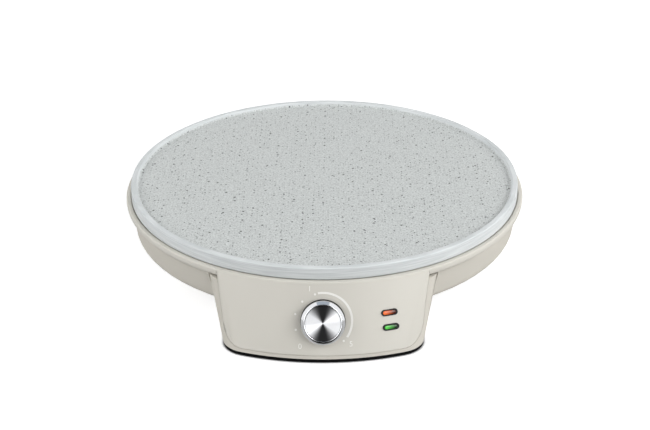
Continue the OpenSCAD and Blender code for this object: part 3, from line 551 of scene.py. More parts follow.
def spun_disc():
    """Aluminium turned on a lathe: rings that spread the light along the radius."""
    finish = Finish("spun_aluminium")
    finish.set(Metallic=1.0, Roughness=0.42, Anisotropic=0.97, Anisotropic_Rotation=0.25)
    turning = finish.add("ShaderNodeUVMap", uv_map="turning").outputs[0]
    rings = finish.add("ShaderNodeMapping", {"Vector": turning, "Scale": (3, 2600, 1)}).outputs[0]
    line = finish.noise(rings, 1, 2)
    metal = finish.mix(line, (0.88, 0.89, 0.91), (0.97, 0.98, 1.0))
    # Painted dark reflection: two dark fans above and below the middle are painted into the colour in place of the
    # dark wedges that turned metal reflects, and they turn with the knob
    around = finish.add("ShaderNodeSeparateXYZ", {"Vector": turning}).outputs[0]
    wave = finish.math("SINE", finish.math("MULTIPLY", around, math.tau))
    painted_dark_fans = finish.ramp(finish.math("ABSOLUTE", wave), 0.55, 0.97, 0, 0.9)
    finish.colour(finish.mix(painted_dark_fans, metal, (0.02, 0.02, 0.022)))
    along = finish.add("ShaderNodeTangent", direction_type="UV_MAP", uv_map="turning").outputs[0]
    finish.link(along, finish.shader.inputs["Tangent"])
    return finish.material


def lens(name, tone, glow, centre):
    """A clear coloured lens, brighter over the lamp behind its left half."""
    finish = Finish(name)
    finish.set(Roughness=0.12, IOR=1.5, Emission_Strength=0.55)
    from_centre = finish.place(location=tuple(-c for c in centre))
    along = finish.add("ShaderNodeSeparateXYZ", {"Vector": from_centre}).outputs[0]
    lit = finish.ramp(along, -3.4 * MM, 3.6 * MM, 1, 0)
    finish.colour(finish.mix(lit, shade(tone, 0.1), tone))
    finish.link(finish.mix(lit, shade(glow, 0.04), glow), finish.shader.inputs["Emission Color"])
    return finish.material


def printed(tone):
    finish = Finish("printed_ink")
    finish.set(Roughness=0.5)
    worn = finish.noise(finish.place(), 700, 2)
    finish.colour(finish.mix(worn, shade(tone, 0.97), tone))
    return finish.material


# ------------------------------------------------------------------ The housing's shapes


def pod_r(height, housing):
    """Radius of the fascia's face about the hotplate's axis."""
    return COLLAR_TOP_R + (LEDGE_Z - height) * math.tan(housing.tilt)


def pod_outline(height, inset, housing):
    """The pod's outline at a height, drawn in by an inset."""
    front = pod_r(height, housing) - inset
    side = housing.pod_half_width + height * math.tan(housing.flare) - inset
    corner = housing.corner - inset
    back = -(housing.pod_back + inset)
    corner_x = side - corner
    corner_y = -math.sqrt((front - corner) ** 2 - corner_x * corner_x)
    turn = math.degrees(math.atan2(corner_x, -corner_y))
    back_r = housing.back_corner - inset
    half = arc((0, 0), front, -90, -90 + turn, 32)
    half += arc((corner_x, corner_y), corner, -90 + turn, 0, 18)[1:]
    half += arc((side - back_r, back - back_r), back_r, 0, 90, 9)
    mirrored = [(-x, y) for x, y in reversed(half[1:])]
    return [(x + AXIS.x, y + AXIS.y, height) for x, y in half + mirrored]


def pod_solid(inset, low, high, housing):
    return loft([pod_outline(low, inset, housing), pod_outline(high, inset, housing)])


def fascia_bar(grow, housing):
    """The fascia's outline, seen from the front, as a bar that runs back from the front."""
    foot = BASE_TOP + housing.strip - grow
    top = LEDGE_Z + 10 * MM
    lean = math.tan(housing.fascia_taper)
    taper = math.degrees(housing.fascia_taper)
    foot_w = (
        housing.fascia_half_width - (LEDGE_Z - BASE_TOP - housing.strip) * lean
        + grow / math.cos(housing.fascia_taper) - grow * lean
    )
    radius = housing.fascia_corner + grow
    reach = radius * math.tan(math.radians(90 - taper) / 2)
    right = arc((foot_w - reach, foot + radius), radius, -90, -taper, 14)
    right.append((foot_w + (top - foot) * lean, top))
    outline = right + [(-x, z) for x, z in reversed(right)]
    # The bar starts before the pod's front and ends behind the fascia's wall
    front = AXIS.y - pod_r(0, housing) - 5 * MM
    back = AXIS.y - housing.pod_back - housing.back_corner - 12 * MM
    return loft([[(x + AXIS.x, y, z) for x, z in outline] for y in (front, back)])


# ------------------------------------------------------------------ Operators


class Build:
    bl_options = {"REGISTER", "UNDO"}


class CREPE_OT_stage(Build, bpy.types.Operator):
    """Adds the camera, the pale floor and the soft lights"""

    bl_idname = "crepe.stage"
    bl_label = "Stage"

    def execute(self, context):
        stage = context.scene.crepe_stage
        self.camera(context, stage)
        self.floor()
        self.cards()
        self.lights(stage)
        self.world(context)
        context.scene.view_settings.view_transform = "Standard"
        return {"FINISHED"}

    def camera(self, context, stage):
        # The camera's place from the rim's centre and its axes, fitted to the rim's outline
        rim_centre = Vector((AXIS.x, AXIS.y, TOP_Z))
        from_rim = Vector((10.5, -1055.8, 506.0)) * MM
        right = Vector((1.0, 0.0065, -0.0061)).normalized()
        forward = Vector((-0.0086, 0.8898, -0.4563)).normalized()
        up = right.cross(forward).normalized()
        data = bpy.data.cameras.new("camera")
        data.lens = stage.focal
        data.sensor_width = 36
        data.clip_start = 0.01
        camera = linked("camera", data)
        turn = facing(right, up, -forward)
        camera.matrix_world = Matrix.Translation(rim_centre + from_rim) @ turn
        context.scene.camera = camera

    def floor(self):
        bm = bmesh.new()
        bmesh.ops.create_grid(bm, x_segments=1, y_segments=1, size=6)
        floor = temporary(bm, "floor")
        finish = Finish("floor")
        finish.set(Roughness=0.9, Specular_IOR_Level=0.0)
        # Open floor is white to the camera; near the feet, ambient occlusion paints a dark contact shadow into the
        # floor's colour and glow
        near = finish.add("ShaderNodeAmbientOcclusion", {"Distance": 3 * MM}, samples=8)
        open_floor = finish.ramp(near.outputs["AO"], 0.4, 0.9)
        finish.colour(finish.mix(open_floor, (0.02, 0.02, 0.02), (0.6, 0.6, 0.6)))
        seen = finish.add("ShaderNodeLightPath").outputs["Is Camera Ray"]
        reach = finish.vectors("LENGTH", {0: finish.place()}, "Value")
        glow = finish.ramp(reach, 0.5, 1.5, 0.72, 1.0)
        level = finish.math("MULTIPLY", finish.math("MULTIPLY", seen, open_floor), glow)
        white = finish.add("ShaderNodeEmission", {"Color": (1, 1, 1, 1), "Strength": level})
        both = finish.add("ShaderNodeAddShader", {0: finish.shader.outputs[0], 1: white.outputs[0]})
        # From below the floor is clear, so that the underside can be looked at
        underside = finish.add("ShaderNodeNewGeometry").outputs["Backfacing"]
        below = finish.math("MULTIPLY", seen, underside)
        clear = finish.add("ShaderNodeBsdfTransparent").outputs[0]
        sheet = finish.add("ShaderNodeMixShader", {0: below, 1: both.outputs[0], 2: clear})
        finish.link(sheet.outputs[0], finish.output.inputs["Surface"])
        floor.data.materials.append(finish.material)

    def cards(self):
        """Cards that only reflections see: dark before, above and below the knob, grey overhead."""
        for name, size, at, turn, tone in (
            ("front_card", (0.46, 1.3), (0, -1.75, 0.85), 90, (0, 0, 0)),
            ("upper_card", (1.7, 1.4), (0, -1.0, 1.6), 0, (0, 0, 0)),
            ("lower_card", (1.7, 1.33), (0, -0.833, 0.0006), 0, (0, 0, 0)),
            ("over_card", (1.2, 0.9), (0, 0.2, 1.6), 0, (0.42, 0.47, 0.52)),
        ):
            finish = Finish(name)
            finish.set(Roughness=1.0, Specular_IOR_Level=0.0, Emission_Strength=1.0)
            finish.set(Base_Color=(0, 0, 0, 1), Emission_Color=(*tone, 1))
            bm = bmesh.new()
            bmesh.ops.create_grid(bm, x_segments=1, y_segments=1, size=0.5)
            bmesh.ops.scale(bm, vec=(*size, 1), verts=bm.verts)
            bmesh.ops.rotate(bm, matrix=Matrix.Rotation(math.radians(turn), 3, "X"), verts=bm.verts)
            bmesh.ops.translate(bm, vec=at, verts=bm.verts)
            card = temporary(bm, name)
            card.data.materials.append(finish.material)
            for ray in ("camera", "diffuse", "shadow", "transmission"):
                setattr(card, "visible_" + ray, False)

    def lights(self, stage):
        """Soft lights all round, of which only the front two show in glossy surfaces."""
        for name, azimuth, elevation, radiance, glossy in (
            ("left_light", -40, 28, stage.left, True),
            ("right_light", 40, 28, stage.right, True),
            ("left_side_light", -90, 30, stage.left_side, False),
            ("right_side_light", 90, 30, stage.right_side, False),
            ("back_light", 180, 60, stage.back, False),
        ):
            self.soft_light(name, azimuth, elevation, radiance).visible_glossy = glossy

    def soft_light(self, name, azimuth, elevation, radiance):
        """A square light at an angle from the front and above the counter, in degrees."""
        turn, rise = math.radians(azimuth), math.radians(elevation)
        data = bpy.data.lights.new(name, "AREA")
        data.shape = "SQUARE"
        data.size = LIGHT_SIZE
        data.energy = radiance * LIGHT_SIZE * LIGHT_SIZE * math.pi
        toward = Vector(
            (math.sin(turn) * math.cos(rise), -math.cos(turn) * math.cos(rise), math.sin(rise))
        )
        lamp = linked(name, data)
        lamp.location = AXIS + UP * TOP_Z / 2 + toward * LIGHT_DISTANCE
        lamp.rotation_euler = toward.to_track_quat("Z", "Y").to_euler()
        return lamp

    def world(self, context):
        """White to the camera, to reflections and through clear things, and no light otherwise."""
        world = bpy.data.worlds.new("studio")
        world.use_nodes = True
        nodes, links = world.node_tree.nodes, world.node_tree.links
        nodes.clear()
        rays = nodes.new("ShaderNodeLightPath")
        white = nodes.new("ShaderNodeBackground")
        level = rays.outputs["Is Camera Ray"]
        for ray in ("Is Glossy Ray", "Is Transmission Ray"):
            either = nodes.new("ShaderNodeMath")
            either.operation = "MAXIMUM"
            links.new(level, either.inputs[0])
            links.new(rays.outputs[ray], either.inputs[1])
            level = either.outputs[0]
        links.new(level, white.inputs["Strength"])
        white.inputs["Color"].default_value = (1, 1, 1, 1)
        output = nodes.new("ShaderNodeOutputWorld")
        links.new(white.outputs[0], output.inputs["Surface"])
        context.scene.world = world


class CREPE_OT_hotplate(Build, bpy.types.Operator):
    """Builds the coated hotplate with its raised rim"""

    bl_idname = "crepe.hotplate"
    bl_label = "Hotplate"

    def execute(self, context):
        plate = context.scene.crepe_plate
        cook = TOP_Z - plate.dish
        under = cook - plate.thickness
        foot = TOP_Z - plate.rim_height
        edge, soft, foot_edge, corner, cove = 1.0 * MM, 0.5 * MM, 0.6 * MM, 2 * MM, 1.6 * MM
        skirt_r = PLATE_R - plate.skirt
        lip_in = PLATE_R - edge - plate.rim_width
        slope_in = lip_in - 1.9 * MM
        section = [(0, under), (skirt_r - corner, under)]
        section += arc((skirt_r - corner, under - corner), corner, 90, 0, 4)[1:]
        section += [(skirt_r, foot)]
        section += arc((PLATE_R - foot_edge, foot + foot_edge), foot_edge, -90, 0, 4)
        section += arc((PLATE_R - edge, TOP_Z - edge), edge, 0, 90, 8)
        section += arc((lip_in, TOP_Z - soft), soft, 90, 145, 4)
        section += arc((slope_in - 1.2 * MM, cook + cove), cove, -35, -90, 6)
        section += [(slope_in - 8 * MM, cook), (PLATE_R * 0.5, cook), (0, cook)]
        obj = turned(section, 256)
        coat = stone_coat(plate)
        finish_piece(obj, "hotplate_casting", coat, "housing", ("hotplate",))
        return {"FINISHED"}


class CREPE_OT_upper_housing(Build, bpy.types.Operator):
    """Builds the collar round the rim and the leaning fascia, as one moulding"""

    bl_idname = "crepe.upper_housing"
    bl_label = "Upper housing"

    def execute(self, context):
        housing = context.scene.crepe_housing
        foot_r, foot_z = COLLAR_TOP_R - 2 * MM, LEDGE_Z - housing.collar_height
        wall_r = foot_r - 2.4 * MM
        inner_r, flange_r = PLATE_R + 0.9 * MM, PLATE_R - 17 * MM
        flange_top, flange_low = LEDGE_Z - 1.2 * MM, LEDGE_Z - 3.2 * MM
        section = [(flange_r, flange_low), (wall_r, flange_low), (wall_r, foot_z), (foot_r, foot_z)]
        # The collar's face curves out from its foot in a quarter of an ellipse
        curve_r, curve_z, steps = COLLAR_MAX_R - foot_r, 3 * MM, 6
        for step in range(1, steps + 1):
            swing = math.radians(90 * step / steps)
            along, up = math.sin(swing), 1 - math.cos(swing)
            section.append((foot_r + curve_r * along, foot_z + curve_z * up))
        section += [(COLLAR_MAX_R, LEDGE_Z - 1.2 * MM), (COLLAR_TOP_R, LEDGE_Z)]
        section += [(inner_r, LEDGE_Z), (inner_r, flange_top), (flange_r, flange_top)]
        obj = turned(section, 192, closed=True)
        shell = temporary(pod_solid(-FASCIA_PROUD, BASE_TOP, LEDGE_Z, housing))
        hollow = temporary(pod_solid(housing.wall, 0, flange_low + 1 * MM, housing))
        combine(shell, hollow, "DIFFERENCE")
        combine(shell, temporary(fascia_bar(0, housing)), "INTERSECT")
        combine(obj, shell, "UNION")
        combine(obj, turned(plug(inner_r, flange_top, TOP_Z), 192), "DIFFERENCE")
        edit(obj, self.split_facets)
        shaft_hole = plug(4 * MM, -8 * MM, 5 * MM)
        combine(obj, turned(shaft_hole, 48, at=knob_matrix()), "DIFFERENCE")
        edit(obj, self.soften)
        cream = moulded("cream_plastic", housing.cream)
        finish_piece(obj, "upper_moulding", cream, "housing", ("upper_housing",))
        return {"FINISHED"}

    def split_facets(self, bm):
        """Cuts the fascia's long facets above and below the shaft's hole."""
        for height in SPLIT_HEIGHTS:
            bmesh.ops.bisect_plane(
                bm, geom=bm.verts[:] + bm.edges[:] + bm.faces[:], dist=1e-7,
                plane_co=(0, 0, height), plane_no=UP,
            )

    def soften(self, bm):
        """Heals the cuts beyond the knob, then rounds the ledge's edge and the fascia's outline."""
        beyond = [
            e for e in bm.edges
            if any(lies_at(e, height) for height in SPLIT_HEIGHTS)
            and max(abs(v.co.x - KNOB_AT.x) for v in e.verts) > KNOB_COVER
        ]
        bmesh.ops.dissolve_edges(bm, edges=beyond, use_verts=True)
        bmesh.ops.remove_doubles(bm, verts=bm.verts, dist=WELD)
        edges = {e for f in bm.faces if f.normal.z > 0.999 for e in f.edges}
        bmesh.ops.dissolve_limit(
            bm, angle_limit=math.radians(0.2), verts=[], edges=list(edges), delimit=set()
        )
        for least, chosen, rounding, segments in (
            (30, on_ledge, 1.0 * MM, 5), (40, is_outline, 0.7 * MM, 4),
        ):
            bm.normal_update()
            rim = [e for e in sharp_edges(bm, least) if chosen(e)]
            round_edges(bm, rim, rounding, segments)


def on_ledge(edge):
    """An edge on the outer border of the ledge's top."""
    radii = [(v.co - AXIS).xy.length for v in edge.verts]
    heights = [v.co.z for v in edge.verts]
    return min(radii) > COLLAR_MAX_R - 2 * MM and min(heights) > LEDGE_Z - 0.01 * MM


def is_outline(edge):
    """An edge between the pod's outer face and a face cut along the fascia's outline."""
    low, high = sorted(f.normal.y for f in edge.link_faces)
    middle = (edge.verts[0].co + edge.verts[1].co) / 2
    return low < -0.2 and abs(high) < 0.03 and middle.z < LEDGE_Z - 1.5 * MM


def knob_matrix():
    """The knob's own frame: X to the right, Z out of the fascia."""
    side = Vector((1, 0, 0))
    return Matrix.Translation(KNOB_AT) @ facing(side, KNOB_OUT.cross(side), KNOB_OUT)


class CREPE_OT_lower_housing(Build, bpy.types.Operator):
    """Builds the bowl and the pod's shell, blended into each other"""

    bl_idname = "crepe.lower_housing"
    bl_label = "Lower housing"

    def execute(self, context):
        housing = context.scene.crepe_housing
        top_z = LEDGE_Z - housing.collar_height - housing.seam
        edge, lift, skin, past = housing.bowl_edge, housing.bowl_lift, 2.5 * MM, top_z + 6 * MM
        foot_r = BOWL_TOP_R - housing.bowl_draft
        outside = [(0, lift)] + arc((foot_r - edge, lift + edge), edge, -90, -5, 10)
        outside += [(BOWL_TOP_R, top_z), (BOWL_TOP_R, past), (0, past)]
        inside = [(0, lift + skin)]
        inside += arc((foot_r - edge, lift + edge), edge - skin, -90, -5, 6)
        inside += [(BOWL_TOP_R - skin, top_z), (BOWL_TOP_R - skin, TOP_Z), (0, TOP_Z)]
        bowl = turned(outside, 72)
        combine(bowl, temporary(pod_solid(0, BASE_TOP, past, housing)), "UNION")
        for side in (-1, 1):
            combine(bowl, temporary(self.blend(housing, top_z, side)), "UNION")
        combine(bowl, turned(plug(2 * BOWL_TOP_R, top_z, TOP_Z), 32), "DIFFERENCE")
        edit(bowl, lambda bm: self.shoulder(bm, top_z))
        hollow = turned(inside, 72)
        combine(hollow, temporary(pod_solid(housing.wall, 0, TOP_Z, housing)), "UNION")
        combine(bowl, hollow, "DIFFERENCE")
        combine(bowl, temporary(fascia_bar(0.08 * MM, housing)), "DIFFERENCE")
        self.tongue(bowl, housing, top_z)
        self.gland_boss(bowl, housing)
        self.screw_holes(bowl, housing)
        cream = bpy.data.materials["cream_plastic"]
        nodes = ("lower_housing", "bowl_rear", "pod_shell")
        finish_piece(bowl, "lower_moulding", cream, "housing", nodes)
        return {"FINISHED"}

    def gland_boss(self, bowl, housing):
        """A flat round boss on the rear wall, with the gland's hole."""
        rear = Matrix.Rotation(math.radians(-90), 4, "X")
        to_rear = Matrix.Translation(AXIS + UP * housing.inlet) @ rear
        inner, outer, radius = 143.6 * MM, BOWL_TOP_R, housing.boss / 2
        bevel, past = 0.4 * MM, 5 * MM
        boss = plug(radius, inner, outer - bevel)[:3] + [(radius - bevel, outer), (0, outer)]
        combine(bowl, turned(boss, 48, at=to_rear), "UNION")
        hole = plug(7.2 * MM, inner - past, outer + past)
        combine(bowl, turned(hole, 48, at=to_rear), "DIFFERENCE")

    def screw_holes(self, bowl, housing):
        """Bosses on the floor, and the stepped holes for the screws from below."""
        lift, corners, past = housing.bowl_lift, (45, 135, 225, 315), 1 * MM
        # Each circle of screws: the boss and its top, the head's room and depth, the shank's hole
        for circle, boss_r, boss_top, head_r, seat, shank_r in (
            (housing.pillar_circle, 6 * MM, 36 * MM, 4.5 * MM, 4.6 * MM, 2.4 * MM),
            (housing.screw_circle, 4.5 * MM, 27.4 * MM, 3.5 * MM, 2.2 * MM, 1.8 * MM),
        ):
            boss = plug(boss_r, lift + past, boss_top)
            combine(bowl, several(boss, round_places(circle, corners), 40), "UNION")
            hole = plug(head_r, lift - past, lift + seat)[:3]
            hole += plug(shank_r, lift + seat, boss_top + past)[1:]
            combine(bowl, several(hole, round_places(circle, corners), 40), "DIFFERENCE")

    def blend(self, housing, top_z, side):
        """The fillet between the pod's side and the bowl's wall, sunk a little into both."""
        radius, edge, bite, steps = housing.fillet, housing.bowl_edge, 0.05 * MM, 12
        foot_z, knee_z = housing.bowl_lift + 1.5 * MM, housing.bowl_lift + edge
        foot_r = BOWL_TOP_R - housing.bowl_draft
        rings = []
        for step in range(steps + 1):
            z = foot_z + (top_z + 3 * MM - foot_z) * (step / steps) ** 2
            if z < knee_z:
                wall = foot_r - edge + math.sqrt(edge ** 2 - (knee_z - z) ** 2)
            else:
                wall = foot_r + (BOWL_TOP_R - foot_r) * min(1, (z - knee_z) / (top_z - knee_z))
            flank = housing.pod_half_width + z * math.tan(housing.flare)
            x = flank + radius
            y = -math.sqrt((wall + radius) ** 2 - x * x)
            turn = math.degrees(math.atan2(-y, -x))
            ring = arc((x, y), radius + bite, 180, turn, steps)
            ring.append((x - radius - 2 * MM, y + radius))
            rings.append([(side * px + AXIS.x, py + AXIS.y, z) for px, py in ring])
        return loft(rings)

    def shoulder(self, bm, top_z):
        """Rounds the top's outer edge, round the bowl, the blends and the pod's sides."""
        bm.normal_update()
        rim = [e for e in sharp_edges(bm) if lies_at(e, top_z)]
        round_edges(bm, rim, 0.4 * MM, 3)

    def tongue(self, bowl, housing, top_z):
        """The thin ring that stands up inside the collar, open to the pod."""
        outer = COLLAR_MAX_R - 5.1 * MM
        inner = outer - 2.2 * MM
        low, high = top_z - 5 * MM, top_z + 3 * MM
        ring = turned([(inner, low), (outer, low), (outer, high), (inner, high)], 72, closed=True)
        combine(ring, temporary(pod_solid(housing.wall, 0, TOP_Z, housing)), "DIFFERENCE")
        combine(bowl, ring, "UNION")


class CREPE_OT_base(Build, bpy.types.Operator):
    """Builds the black base, the pads and the rear legs"""

    bl_idname = "crepe.base"
    bl_label = "Base, pads and legs"

    def execute(self, context):
        black = moulded("black_plastic", (0.004, 0.004, 0.0045), 0.45, 0.1, shine=0.12)
        rubber = moulded("black_rubber", (0.014, 0.014, 0.014), 0.75, 0.15, 0.03 * MM)
        cream = bpy.data.materials["cream_plastic"]
        for node, name, material, slot, rounding in (
            ("base_cover", "base_plate", black, "black_plastic", 0.0),
            ("front_pads", "front_rubbers", rubber, "rubber", 0.25 * MM),
            ("rear_pads", "rear_rubbers", rubber, "rubber", 0.25 * MM),
            ("rear_leg_left", "leg_left", cream, "cream_plastic", 0.4 * MM),
            ("rear_leg_right", "leg_right", cream, "cream_plastic", 0.4 * MM),
            ("cord_gland", "gland", black, "black_plastic", 0.3 * MM),
        ):
            finish_piece(merged_copy(node, rounding), name, material, "housing", (node,))
        return {"FINISHED"}


class CREPE_OT_knob(Build, bpy.types.Operator):
    """Builds the knob's black body, chrome ring, spun disc and pointer"""

    bl_idname = "crepe.knob"
    bl_label = "Knob"

    def execute(self, context):
        knob = context.scene.crepe_knob
        to_fascia = knob_matrix()
        black = bpy.data.materials["black_plastic"]
        half, disc_r, top = knob.diameter / 2, knob.disc / 2, knob.height
        gap, skirt, corner = 0.6 * MM, 3.0 * MM, 0.3 * MM
        body = [(0, gap), (half - corner, gap), (half, gap + corner), (half, skirt - corner)]
        body += [(half - corner, skirt), (disc_r - 0.1 * MM, skirt)]
        body += [(disc_r - 0.1 * MM, top - 1.5 * MM), (0, top - 1.5 * MM)]
        obj = turned(body, 128, at=to_fascia)
        finish_piece(obj, "knob_skirt", black, "knob", ("knob_body",))
        ring_r, foot_r, face_r = disc_r + 0.2 * MM, half - 0.35 * MM, disc_r + 0.9 * MM
        bevel, small, large = foot_r - face_r, 0.3 * MM, 0.5 * MM
        ring = [(ring_r, skirt), (foot_r - 0.1 * MM, skirt), (foot_r, skirt + 0.1 * MM)]
        ring += arc((foot_r - small, top - bevel - 0.2 * MM), small, 0, 45, 3)
        ring += arc((face_r - 0.2 * MM, top - large), large, 45, 90, 3)
        ring += [(ring_r + 0.25 * MM, top - 0.05 * MM), (ring_r, top - 0.3 * MM)]
        obj = turned(ring, 128, closed=True, at=to_fascia)
        finish_piece(obj, "knob_bezel", chrome(), "knob", ("knob_ring",), smooth=50)
        self.disc(knob, to_fascia)
        mark = merged_copy("knob_pointer")
        finish_piece(mark, "knob_mark", black, "knob", ("knob_pointer",))
        return {"FINISHED"}

    def disc(self, knob, to_fascia):
        """The spun disc, with a map that runs round and out from its middle."""
        radius, top = knob.disc / 2, knob.height - 0.5 * MM
        low, edge, dip, steps = top - 1 * MM, 0.2 * MM, 0.25 * MM, 12
        section = [(0, low), (radius, low), (radius, top - edge), (radius - edge, top)]
        for step in range(1, steps):
            inward = step / steps
            section.append((radius * (1 - inward), top - dip * math.sin(inward * math.pi / 2)))
        section.append((0, top - dip))
        bm = lathe(section, 128)
        turning = bm.loops.layers.uv.new("turning")
        for face in bm.faces:
            middle = face.calc_center_median()
            around = math.atan2(middle.y, middle.x)
            for loop in face.loops:
                co = loop.vert.co
                out = co.xy.length
                at = math.atan2(co.y, co.x) if out > SAME else around
                at += math.tau * round((around - at) / math.tau)
                loop[turning].uv = (at / math.tau, out)
        obj = temporary(place(bm, to_fascia))
        finish_piece(obj, "knob_face", spun_disc(), "knob", ("knob_disc",))


class CREPE_OT_dial(Build, bpy.types.Operator):
    """Prints the scale: a rising arc, the dots and plain numbers"""

    bl_idname = "crepe.dial"
    bl_label = "Printed scale"

    def execute(self, context):
        knob = context.scene.crepe_knob
        housing = context.scene.crepe_housing
        ink = printed(knob.print_colour)
        bm = bmesh.new()
        self.sweep(bm, knob)
        for turn in (198, 166, 136, 106, -44):
            bmesh.ops.create_circle(
                bm, cap_ends=True, cap_tris=False, segments=20, radius=0.8 * MM,
                matrix=Matrix.Translation(polar(turn) * 19.9 * MM),
            )
        marks = temporary(place(bm, knob_matrix()))
        self.lay(marks, housing)
        finish_piece(marks, "scale_marks", ink, "housing")
        for name, text, turn, reach in (
            ("zero", "0", 228, 24.0), ("low", "1", 112, 24.6), ("high", "5", -40, 25.4),
        ):
            label = self.label(text, polar(turn, reach * MM))
            self.lay(label, housing)
            finish_piece(label, "scale_" + name, ink, "housing")
        return {"FINISHED"}

    def sweep(self, bm, knob):
        """The printed arc, which runs clockwise from the dial's top."""
        half, start, end = knob.scale_width / 2, 100, -34
        swing = math.radians(end) - math.radians(start)
        ends = [bm.verts.new(polar(start, knob.scale_radius + side * half)) for side in (-1, 1)]
        edge = bm.edges.new(ends)
        bmesh.ops.spin(
            bm, geom=ends + [edge], cent=(0, 0, 0), axis=(0, 0, 1),
            angle=swing, steps=64, use_merge=False, use_duplicate=False,
        )

    def label(self, text, at):
        """A number, flat and upright in the knob's own frame."""
        curve = bpy.data.curves.new("label", "FONT")
        curve.body = text
        curve.size = 5.4 * MM
        curve.align_x = "CENTER"
        curve.align_y = "CENTER"
        made = linked("label", curve)
        mesh = evaluated_mesh(made)
        bpy.data.objects.remove(made)
        mesh.transform(knob_matrix() @ Matrix.Translation(at))
        return linked("label", mesh)

    def lay(self, obj, housing):
        """Lays a flat mesh on the fascia's curved face and gives it the ink's thickness."""
        ink = 0.03 * MM

        def change(bm):
            bmesh.ops.triangulate(bm, faces=bm.faces)
            long_edges = [e for e in bm.edges if e.calc_length() > 1.5 * MM]
            bmesh.ops.subdivide_edges(bm, edges=long_edges, cuts=1, use_grid_fill=True)
            for vert in bm.verts:
                side = vert.co.x - AXIS.x
                radius = pod_r(vert.co.z, housing) + FASCIA_PROUD + ink
                vert.co.y = AXIS.y - math.sqrt(radius ** 2 - side ** 2)
            bm.normal_update()
            if sum(f.normal.y for f in bm.faces) > 0:
                bmesh.ops.reverse_faces(bm, faces=bm.faces)
            bmesh.ops.solidify(bm, geom=bm.faces, thickness=ink * 2)
            bmesh.ops.recalc_face_normals(bm, faces=bm.faces)

        edit(obj, change)


class CREPE_OT_lamps(Build, bpy.types.Operator):
    """Builds the two pilot lamps"""

    bl_idname = "crepe.lamps"
    bl_label = "Pilot lamps"

    def execute(self, context):
        lamps = context.scene.crepe_lamps
        housing = context.scene.crepe_housing
        black = bpy.data.materials["black_plastic"]
        rings = bmesh.new()
        for side, node, name, tone, glow in (
            (1, "power_lens", "lens_red", (0.62, 0.06, 0.012), (0.95, 0.25, 0.05)),
            (-1, "ready_lens", "lens_green", (0.03, 0.36, 0.03), (0.15, 0.75, 0.10)),
        ):
            matrix = self.matrix(lamps, housing, side)
            self.bezel(rings, lamps, matrix)
            low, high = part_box(node)
            material = lens(name, tone, glow, (low + high) / 2)
            cap = temporary(place(self.lens(lamps), matrix))
            finish_piece(cap, name + "_cap", material, "housing", (node,), smooth=60)
        rims = temporary(rings)
        nodes = ("lamp_bezels",)
        finish_piece(rims, "lamp_surrounds", black, "housing", nodes, smooth=50)
        return {"FINISHED"}

    def matrix(self, lamps, housing, side):
        """A lamp's own frame: X along it, Z out of the fascia."""
        out = Vector((0, -math.cos(housing.tilt), math.sin(housing.tilt)))
        right = Vector((1, 0, 0))
        rise = out.cross(right)
        face = pod_r(lamps.height, housing) + FASCIA_PROUD
        at = Vector((0, -face, lamps.height)) + rise * side * lamps.pitch / 2
        local = Matrix.Translation(at) @ facing(right, rise, out)
        return AT_AXIS @ Matrix.Rotation(lamps.turn, 4, "Z") @ local

    def pill(self, long, wide):
        reach = (long - wide) / 2
        right = arc((reach, 0), wide / 2, -90, 90, 16)
        left = arc((-reach, 0), wide / 2, 90, 270, 16)
        return right + left

    def bezel(self, rings, lamps, matrix):
        """A ring with bevelled edges, from outlines drawn towards the middle of its wall."""
        outer = self.pill(lamps.bezel_length, lamps.bezel_width)
        inner = self.pill(lamps.lens_length + 0.1 * MM, lamps.lens_width + 0.1 * MM)
        loops = []
        for outline, toward, height in (
            (outer, 0.0, -3.0 * MM), (outer, 0.0, 0.1 * MM), (outer, 0.2, 0.34 * MM),
            (inner, -0.15, 0.34 * MM), (inner, 0.0, 0.15 * MM), (inner, 0.0, -3.0 * MM),
        ):
            wide, high = 1 - toward * 0.03, 1 - toward * 0.2
            loop = [
                rings.verts.new(matrix @ Vector((x * wide, y * high, height))) for x, y in outline
            ]
            loops.append([rings.edges.new(pair) for pair in zip(loop, loop[1:] + loop[:1])])
        for first, second in zip(loops, loops[1:] + loops[:1]):
            made = bmesh.ops.bridge_loops(rings, edges=first + second)
            bmesh.ops.recalc_face_normals(rings, faces=made["faces"])
        bmesh.ops.recalc_face_normals(rings, faces=rings.faces)

    def lens(self, lamps):
        """A pill with a domed face."""
        rows = []
        for scale, height in (
            (1, -4 * MM), (1, 0.05 * MM), (0.93, 0.28 * MM),
            (0.78, 0.42 * MM), (0.5, 0.5 * MM), (0.2, 0.52 * MM),
        ):
            draw = lamps.lens_width / 2 * (1 - scale)
            along = 1 - draw / (lamps.lens_length / 2)
            outline = self.pill(lamps.lens_length, lamps.lens_width)
            rows.append([(x * along, y * scale, height) for x, y in outline])
        return loft(rows)


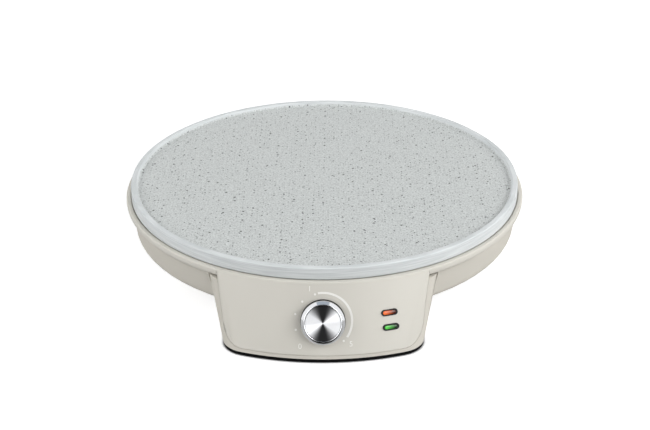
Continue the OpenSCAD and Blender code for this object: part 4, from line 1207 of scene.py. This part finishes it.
class CREPE_OT_inner_parts(Build, bpy.types.Operator):
    """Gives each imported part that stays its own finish"""

    bl_idname = "crepe.inner_parts"
    bl_label = "Inner parts and screws"

    def execute(self, context):
        finishes = {
            "steel": brushed("plated_steel", (0.55, 0.56, 0.58), 0.34),
            "brass": brushed("plain_brass", (0.62, 0.44, 0.18), 0.34),
            "ceramic": moulded("white_ceramic", (0.78, 0.74, 0.68), 0.3),
            "neon_glass": moulded("lamp_glass", (0.75, 0.55, 0.42), 0.1),
            "lead_sleeve": moulded("lead_sleeve", (0.42, 0.03, 0.02), 0.5),
        }
        for subpart in frame["record"]["subparts"]:
            obj = frame["nodes"][subpart["node"]]
            finish = finishes.get(subpart["material_slot"])
            if finish and not obj.hide_render:
                obj.data.materials.clear()
                obj.data.materials.append(finish)
        return {"FINISHED"}


STEPS = (
    CREPE_OT_stage, CREPE_OT_hotplate, CREPE_OT_upper_housing, CREPE_OT_lower_housing,
    CREPE_OT_base, CREPE_OT_knob, CREPE_OT_dial, CREPE_OT_lamps, CREPE_OT_inner_parts,
)


class CREPE_PT_panel(bpy.types.Panel):
    """Lists the steps that build the crepe maker"""

    bl_label = "Crepe maker"
    bl_idname = "CREPE_PT_panel"
    bl_space_type = "VIEW_3D"
    bl_region_type = "UI"
    bl_category = "Crepe maker"

    def draw(self, context):
        for step in STEPS:
            self.layout.operator(step.bl_idname)


GROUPS = {
    "crepe_plate": CREPE_PG_plate,
    "crepe_housing": CREPE_PG_housing,
    "crepe_knob": CREPE_PG_knob,
    "crepe_lamps": CREPE_PG_lamps,
    "crepe_stage": CREPE_PG_stage,
}


def register():
    for group in (*GROUPS.values(), *STEPS, CREPE_PT_panel):
        bpy.utils.register_class(group)
    for name, group in GROUPS.items():
        setattr(bpy.types.Scene, name, PointerProperty(type=group))


def unregister():
    for name in GROUPS:
        delattr(bpy.types.Scene, name)
    for group in reversed((*GROUPS.values(), *STEPS, CREPE_PT_panel)):
        bpy.utils.unregister_class(group)


def main():
    register()
    for step in STEPS:
        family, name = step.bl_idname.split(".")
        getattr(getattr(bpy.ops, family), name)()


if __name__ == "__main__":
    main()
